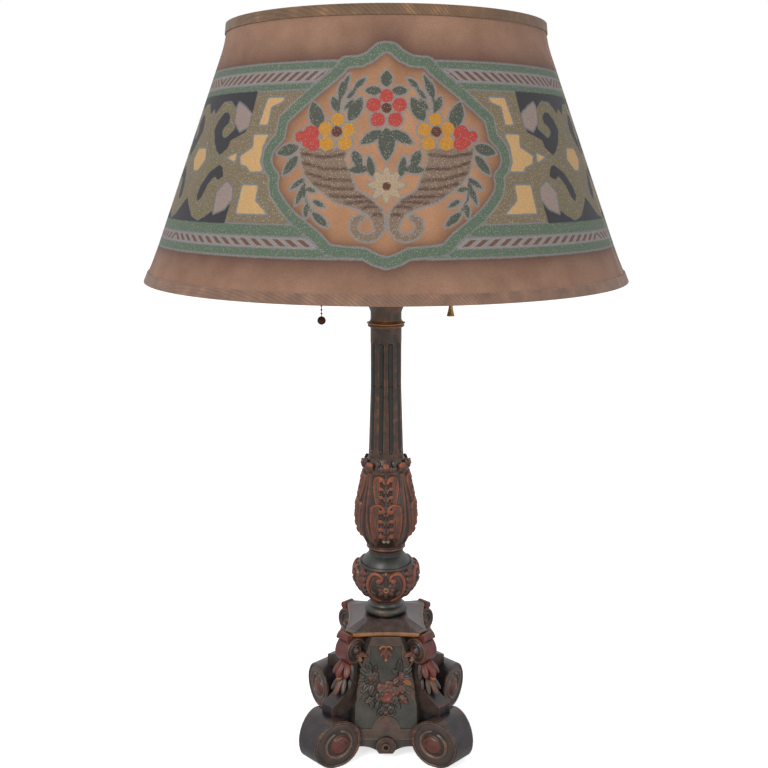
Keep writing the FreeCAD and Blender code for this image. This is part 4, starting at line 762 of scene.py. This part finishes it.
def carve_vase(work):
    """Acanthus in two tiers between smooth ribs: curled hooks beside a stem, long ribs that flow down from them."""
    work.ridge([vase_arc(41.5, 287), vase_arc(41, 262), vase_arc(40, 240), vase_arc(35, 222), vase_arc(29, 212)],
               1.5, 1.3, 2.2, SIENNA)
    work.ridge([vase_arc(36, 287), vase_arc(35.5, 262), vase_arc(34, 240), vase_arc(29, 224), vase_arc(23, 214)],
               0.8, 0.8, 1.0, UMBER)
    work.ridge([(0, 217), (0, 287)], 1.5, 1.8, 1.3, UMBER, rounds=0)
    for top, spread, fall, count in ((285.0, 12.0, 27.0, 4), (257.5, 15.5, 38.0, 5)):
        for k in range(count):
            share = (k + 1) / count
            out = spread * (0.40 + 0.60 * share)
            high = top - 2.6 * (1 - share)
            work.ridge([(1.8, high - 6.0), (out * 0.45, high), (out * 0.84, high - 1.5), (out, high - 0.3 * fall),
                        (out, high - 0.6 * fall), (out * 0.82, high - fall * (0.8 + 0.2 * share))],
                       1.25, 0.75, 2.6, RIDGE if k == count - 1 else SIENNA)
        work.ridge([(1.6, top - 7), (spread * 0.3, top - 0.5), (spread * 0.58, top - 1.5), (spread * 0.62, top - 6)],
                   1.9, 1.0, 3.4, RIDGE)
        work.ridge([(spread * 0.5, top - 1), (spread * 0.86, top - 2.4), (spread * 1.02, top - 8)], 2.0, 1.0, 3.3,
                   RIDGE)
    for z in (281, 272.5, 264.5, 250, 241, 232.5, 225):
        work.dome(4.9, z, 2.7, 3.8, RIDGE, cup=0.25)
        work.ridge([(1.4, z - 3.6), (2.8, z + 0.4), (5.6, z + 1.0), (7.6, z - 1.8), (7.8, z - 6.0)], 1.5, 0.8, 2.9,
                   SIENNA)
    work.dome(1.8, 218.6, 2.0, 2.6, BEAD_PALE)
    work.ridge([vase_arc(0, 206), vase_arc(45, 206)], 1.2, 1.2, 0.5, SIENNA, rounds=0)


def carve_knop(work):
    """Four cartouches of paired C scrolls round a ring flower, with stacked bosses between them."""
    work.ridge([(5.5, 153), (11.5, 156.5), (16.6, 162), (19.4, 169), (19.4, 177), (16.4, 183.4), (10.8, 185.8),
                (5.6, 184.4), (3.4, 180.6), (6.6, 177.6)], 1.3, 1.9, 2.3, RIDGE)
    work.ridge([(13, 163), (16, 168), (16.2, 175), (13.4, 180)], 0.8, 0.8, 1.0, UMBER)
    work.dome(7.2, 178.8, 2.9, 3.2, RIDGE, cup=0.2)
    work.ridge([(0, 172), (0, 184)], 0.9, 0.9, 1.4, UMBER, rounds=0)
    work.dome(0, 185.4, 1.7, 2.2, OCHRE)
    work.coil(0, 169.6, 1.9, 1.9, 0, 360, (1.1, 1.1), 2.6, OCHRE)
    for base, tip, half, paint in (((1.5, 172), (9.6, 174.8), 2.0, UMBER), ((2.2, 170), (8.8, 169.4), 2.0, SIENNA),
                                   ((1.8, 167.6), (7.6, 163), 2.1, SIENNA), ((0.0, 167), (0.4, 158.5), 1.8, UMBER),
                                   ((10, 160), (14.6, 167), 1.6, UMBER)):
        work.leaf(base, tip, half, 2.6, paint)
    for z, size, deg, paint in ((184.0, 3.3, 43, RUSSET), (177.4, 3.4, 43.5, SIENNA), (170.8, 3.0, 43.5, RUSSET),
                                (165.2, 2.4, 43, UMBER), (160.4, 1.9, 43, UMBER)):
        work.dome(math.radians(deg) * radius_at(KNOP_PROFILE[:8], z), z, size, size * 0.85, paint, cup=0.25)
    work.ridge([(0, 152), (24, 152)], 0.9, 0.9, 0.8, SIENNA, rounds=0)


carved_ring("carved_vase", "vase", VASE_PROFILE, 168, carve_vase)
carved_ring("carved_knop", "lower_knop", KNOP_PROFILE, 116, carve_knop)


# Legs: scrolls on both flanks, and a bud with its leaves hanging on the front of the neck.

def flank_scroll(name, swing, flank, carve, cells, middle, radius, offset, splay):
    """A round relief on one flank of a leg, whose offset grows inwards by its splay."""
    net, grid = grid_net(cells, cells)
    a, b = (grid[:, 0] - 0.5) * 2 * radius, (grid[:, 1] - 0.5) * 2 * radius
    gone = np.hypot(a, b)
    work = Relief(np.stack([a, b], -1), "#2B211C")
    work.height = np.where(gone < radius - 0.9, 0.75, 0.0)
    carve(work)
    work.height[gone > radius - 0.3] = 0
    side = offset + (radius - a) * math.tan(splay) - SCROLL_SUNK + work.height
    places = turned(middle[0] + a, flank * side, np.maximum(middle[1] + b, FLOOR_CLEAR), swing)
    relief_sheet(name, net, places, work, away=Vector(turned(0, flank, 0, swing)))


def carve_roll(work):
    """A broad strap round the rim that curls in to a raised comma; the curl starts inward and above."""
    work.coil(0, 0, 23.0, 23.0, 0, 360, (0.9, 0.9), 1.9, UMBER)
    work.coil(0, 0, 18.6, 17.0, 0, 360, (3.4, 3.4), 1.5, "#3C2D25")
    work.coil(0, 0, 14.2, 12.6, 100, 330, (0.9, 0.9), 2.3, "#5A4A3C")
    work.dome(-0.6, -0.8, 8.8, 4.6, RUSSET)
    work.coil(-0.6, -0.8, 6.4, 9.8, 60, 150, (3.6, 1.1), 4.2, SIENNA)


def carve_volute(work):
    work.coil(0, 0, 12.2, 12.2, 0, 360, (1.2, 1.2), 1.9, SIENNA)
    work.coil(0, 0, 9.4, 4.6, 120, -400, (1.5, 1.1), 2.4, UMBER)
    work.dome(0, 0, 3.8, 3.6, SIENNA)


def lobe(net, swing, base, tip, half, thick, curl, ribs, paint):
    """A closed leaf or bud on a leg: base and tip are reach, offset and height; its width lies across the leg."""
    layers = net.verts.layers.float_color
    layer = layers.get("paint") or layers.new("paint")
    verts = bmesh.ops.create_uvsphere(net, u_segments=24, v_segments=14, radius=1.0)["verts"]
    base, tip, across = Vector(base), Vector(tip), Vector((0, 1, 0))
    run = tip - base
    out = run.cross(across).normalized()
    if out.x < 0:
        out = -out
    for vert in verts:
        x, y, z = vert.co
        share = (z + 1) / 2
        bulge = y * thick * (1 + 0.25 * math.cos(ribs * math.pi * x)) + curl * share * share
        vert.co = turned(*(base + run * share + across * (x * half) + out * bulge), swing)
        vert[layer] = linear(paint)


SCROLLS = (("roll_scroll_", carve_roll, 92, ROLL_AT, ROLL_R, ROLL_HALF, ROLL_SPLAY),
           ("volute_scroll_", carve_volute, 60, VOLUTE_AT, VOLUTE_R, LEG_HALF, 0.0))
for corner, turn in (("front_left", 225), ("front_right", 315), ("back_right", 45), ("back_left", 135)):
    swing = math.radians(turn)
    for kind, *shape in SCROLLS:
        for flank, end in ((-1, "_a"), (1, "_b")):
            flank_scroll(kind + corner + end, swing, flank, *shape)
    net = bmesh.new()
    for side in (-1, 1):
        lobe(net, swing, (56, side * 2.6, 98), (64.5, side * 8.4, 83), 4.6, 3.6, 2.0, 2, RUSSET)
        lobe(net, swing, (60, side * 2.2, 84), (69, side * 7.8, 67.5), 3.2, 2.2, 1.0, 2, UMBER)
        lobe(net, swing, (55, side * 7, 96), (59, side * 10.4, 80), 3.0, 2.6, 0.0, 2, MOSS)
        lobe(net, swing, (57, side * 6.4, 82), (62, side * 9.4, 70), 2.4, 2.0, 0.0, 1, UMBER)
    lobe(net, swing, (56, 0, 99), (67, 0, 81.5), 4.6, 5.4, 2.4, 3, CRIMSON)
    lobe(net, swing, (63, 0, 86), (68, 0, 79), 3.0, 2.6, 0.6, 1, OCHRE)
    lobe(net, swing, (61, 0, 83), (72, 0, 64.5), 3.6, 2.6, 1.2, 2, SIENNA)
    bmesh.ops.recalc_face_normals(net, faces=net.faces[:])
    cast_piece("leaf_drop_" + corner, net)


# Collar under the shaft: eight curled leaf tips.

net = bmesh.new()
for k in range(8):
    swing = math.radians(45 * k)
    wide = 5.6 if k % 2 else 4.4
    lobe(net, swing, (20.5, 0, 289.5), (22.6, 0, 298.5), wide * 0.9, 1.8, 1.6, 3, SIENNA)
    lobe(net, swing, (22.2, 0, 297.0), (24.6, 0, 291.6), wide * 0.8, 1.5, 0.4, 3, RUSSET)
    lobe(net, swing + math.radians(22.5), (20.6, 0, 300.5), (22.6, 0, 293.5), 2.6, 1.4, 0.6, 1, UMBER)
bmesh.ops.recalc_face_normals(net, faces=net.faces[:])
cast_piece("collar_leaf_tips", net)

# ---------------------------------------------------------------- finishes of the machined and cast nodes

NODE_FINISHES = {
    "pedestal_core": painted_casting("umber_paint_on_pedestal", "#1A1813", "#35332A", "#4A4133", "#9A5E3A", ground=0.42,
                                     accents=[("#4C392D", proud_of_panel)]),
    "column_foot": painted_casting("moss_paint_on_foot", "#14130F", "#2F2F27", "#5A4232", "#A8603A", ground=0.42),
    "leaf_collar": painted_casting("sienna_paint_on_collar", "#1B120E", "#3E291E", "#6B3E28", "#B8693C", ground=0.44),
    "capital": painted_casting("umber_paint_on_capital", "#18120D", "#40301F", "#6E4426", "#B06A36", ground=0.46),
    "cornice": painted_casting("slate_paint_on_roof", "#221D1C", "#4A3F3B", "#66524A", "#A86A44", ground=0.44,
                               accents=[("#96602E", band(121.0, 126.6, 35.0))]),
    "bell_collar": painted_casting("green_paint_on_bell", "#12130F", "#272B26", "#3E3A30", "#6E4A34", ground=0.40,
                                   wear_gain=0.3),
    "fluted_shaft": painted_casting("green_and_brown_paint_on_shaft", "#12140F", "#231B14", "#4C3120", "#A0633A",
                                    ground=0.38, flutes=((300.0, 17.6), (373.0, 15.3))),
    "astragal": painted_casting("gold_paint_on_ring", "#2A1B10", "#5E3C20", "#8A5A2C", "#C08848", ground=0.46),
    "top_trim": woven_tape("bronze_binding_tape", "#76583F", "#54422F", "#9E7552"),
    "bottom_trim": woven_tape("mauve_binding_tape", "#866450", "#664F41", "#9E7A64")}
NODE_FINISHES["lower_knop"] = NODE_FINISHES["pedestal_core"]
NODE_FINISHES["vase"] = NODE_FINISHES["leaf_collar"]
SLOT_FINISHES = {
    "red_casting": painted_casting("umber_paint_on_leg", "#100E11", "#262126", "#4A2F28", "#B8663C", ground=0.40,
                                   accents=[("#5F261E", band(95.0, 140.0, 54.0)), ("#43322A", leg_flank)]),
    "aged_brass": bare_metal("aged_brass", "#B08D57", "#6E5430", 0.32),
    "zinced_steel": bare_metal("zinc_plated_steel", "#A9ABAC", "#7E8082", 0.38),
    "frame_wire": bare_metal("lacquered_frame_wire", "#8C7B62", "#5E5140", 0.45),
    "nickel_cap": bare_metal("nickel_plated_cap", "#C3BFB6", "#9A958B", 0.25),
    "dark_bead": bare_metal("browned_brass_ball", "#5E3F2C", "#2E211A", 0.35),
    "black_moulding": matt_stuff("black_phenolic", "#22201F", "#171615", 0.4, 1.5),
    "liner_card": matt_stuff("vulcanised_card", "#6D4A34", "#5B3C2A", 0.8, 1.2),
    # Blown soda-lime glass: smooth and colourless, with faint waves from the blowing.
    "clear_glass": grained("blown_glass", "#F4F7F5", "#FFFFFF", 30.0, 1.0, (0.1, 0.3), places=(0.3, 0.7),
                           Roughness=0.02, IOR=1.52, Transmission_Weight=1.0),
    "painted_cloth": CLOTH}

for row in frame["record"]["subparts"]:
    finish = NODE_FINISHES.get(row["node"]) or SLOT_FINISHES[row["material_slot"]]
    mesh = frame["nodes"][row["node"]].data
    for k in range(len(mesh.materials)):
        mesh.materials[k] = finish
    if not mesh.materials:
        mesh.materials.append(finish)

# ---------------------------------------------------------------- stage, light and camera

CAMERA_AT = (-2.0, -1009.4, 583.7)
CAMERA_PITCH = 0.205
LENS_MM = 48.7
FLOOR_GLOW = 0.7


def pale_floor():
    """A plain pale floor that shows white to the camera, to gloss and to glass, and keeps the object's shadow."""
    material, put, shader = new_finish("pale_floor", Roughness=0.9, Base_Color="#F4F4F4")
    path = put("LightPath")
    seen = put("Math", {0: path.outputs["Is Camera Ray"], 1: path.outputs["Is Transmission Ray"]},
               operation="MAXIMUM")
    lift = put("Math", {0: seen, 1: FLOOR_GLOW}, operation="MULTIPLY")
    glow = put("Emission", {"Color": "#FFFFFF", "Strength": lift})
    feed(material.node_tree.nodes["Material Output"], {"Surface": put("AddShader", {0: shader, 1: glow})})
    return material


def studio():
    net = bmesh.new()
    bmesh.ops.create_grid(net, x_segments=1, y_segments=1, size=6.0)
    as_piece("floor", net, pale_floor())
    world = bpy.data.worlds.new("studio")
    bpy.context.scene.world = world
    world.use_nodes = True
    world.node_tree.nodes.clear()
    put = partial(add, world.node_tree)
    path = put("LightPath")
    seen = put("Math", {0: path.outputs["Is Camera Ray"], 1: path.outputs["Is Glossy Ray"]}, operation="MAXIMUM")
    seen = put("Math", {0: seen, 1: path.outputs["Is Transmission Ray"]}, operation="MAXIMUM")
    soft = put("Background", {"Color": "#F3F6FA", "Strength": 0.5})
    white = put("Background", {"Color": "#FFFFFF", "Strength": 1.0})
    put("OutputWorld", {"Surface": put("MixShader", {0: seen, 1: soft, 2: white})})
    for name, at, size, watts in (("key", (-0.9, -1.5, 1.5), 0.8, 20.0), ("fill", (1.3, -1.2, 0.8), 1.0, 6.5)):
        lamp = bpy.data.lights.new(name, "AREA")
        lamp.size = size
        lamp.energy = watts
        light = bpy.data.objects.new(name, lamp)
        light.location = at
        light.rotation_euler = (Vector((0, 0, 0.35)) - Vector(at)).to_track_quat("-Z", "Y").to_euler()
        bpy.context.scene.collection.objects.link(light)
    lens = bpy.data.cameras.new("camera")
    lens.lens = LENS_MM
    camera = bpy.data.objects.new("camera", lens)
    camera.location = Vector(CAMERA_AT) * MM
    camera.rotation_euler = Euler((math.pi / 2 - CAMERA_PITCH, 0, 0))
    bpy.context.scene.collection.objects.link(camera)
    bpy.context.scene.camera = camera
    bpy.context.scene.view_settings.view_transform = "Standard"


studio()
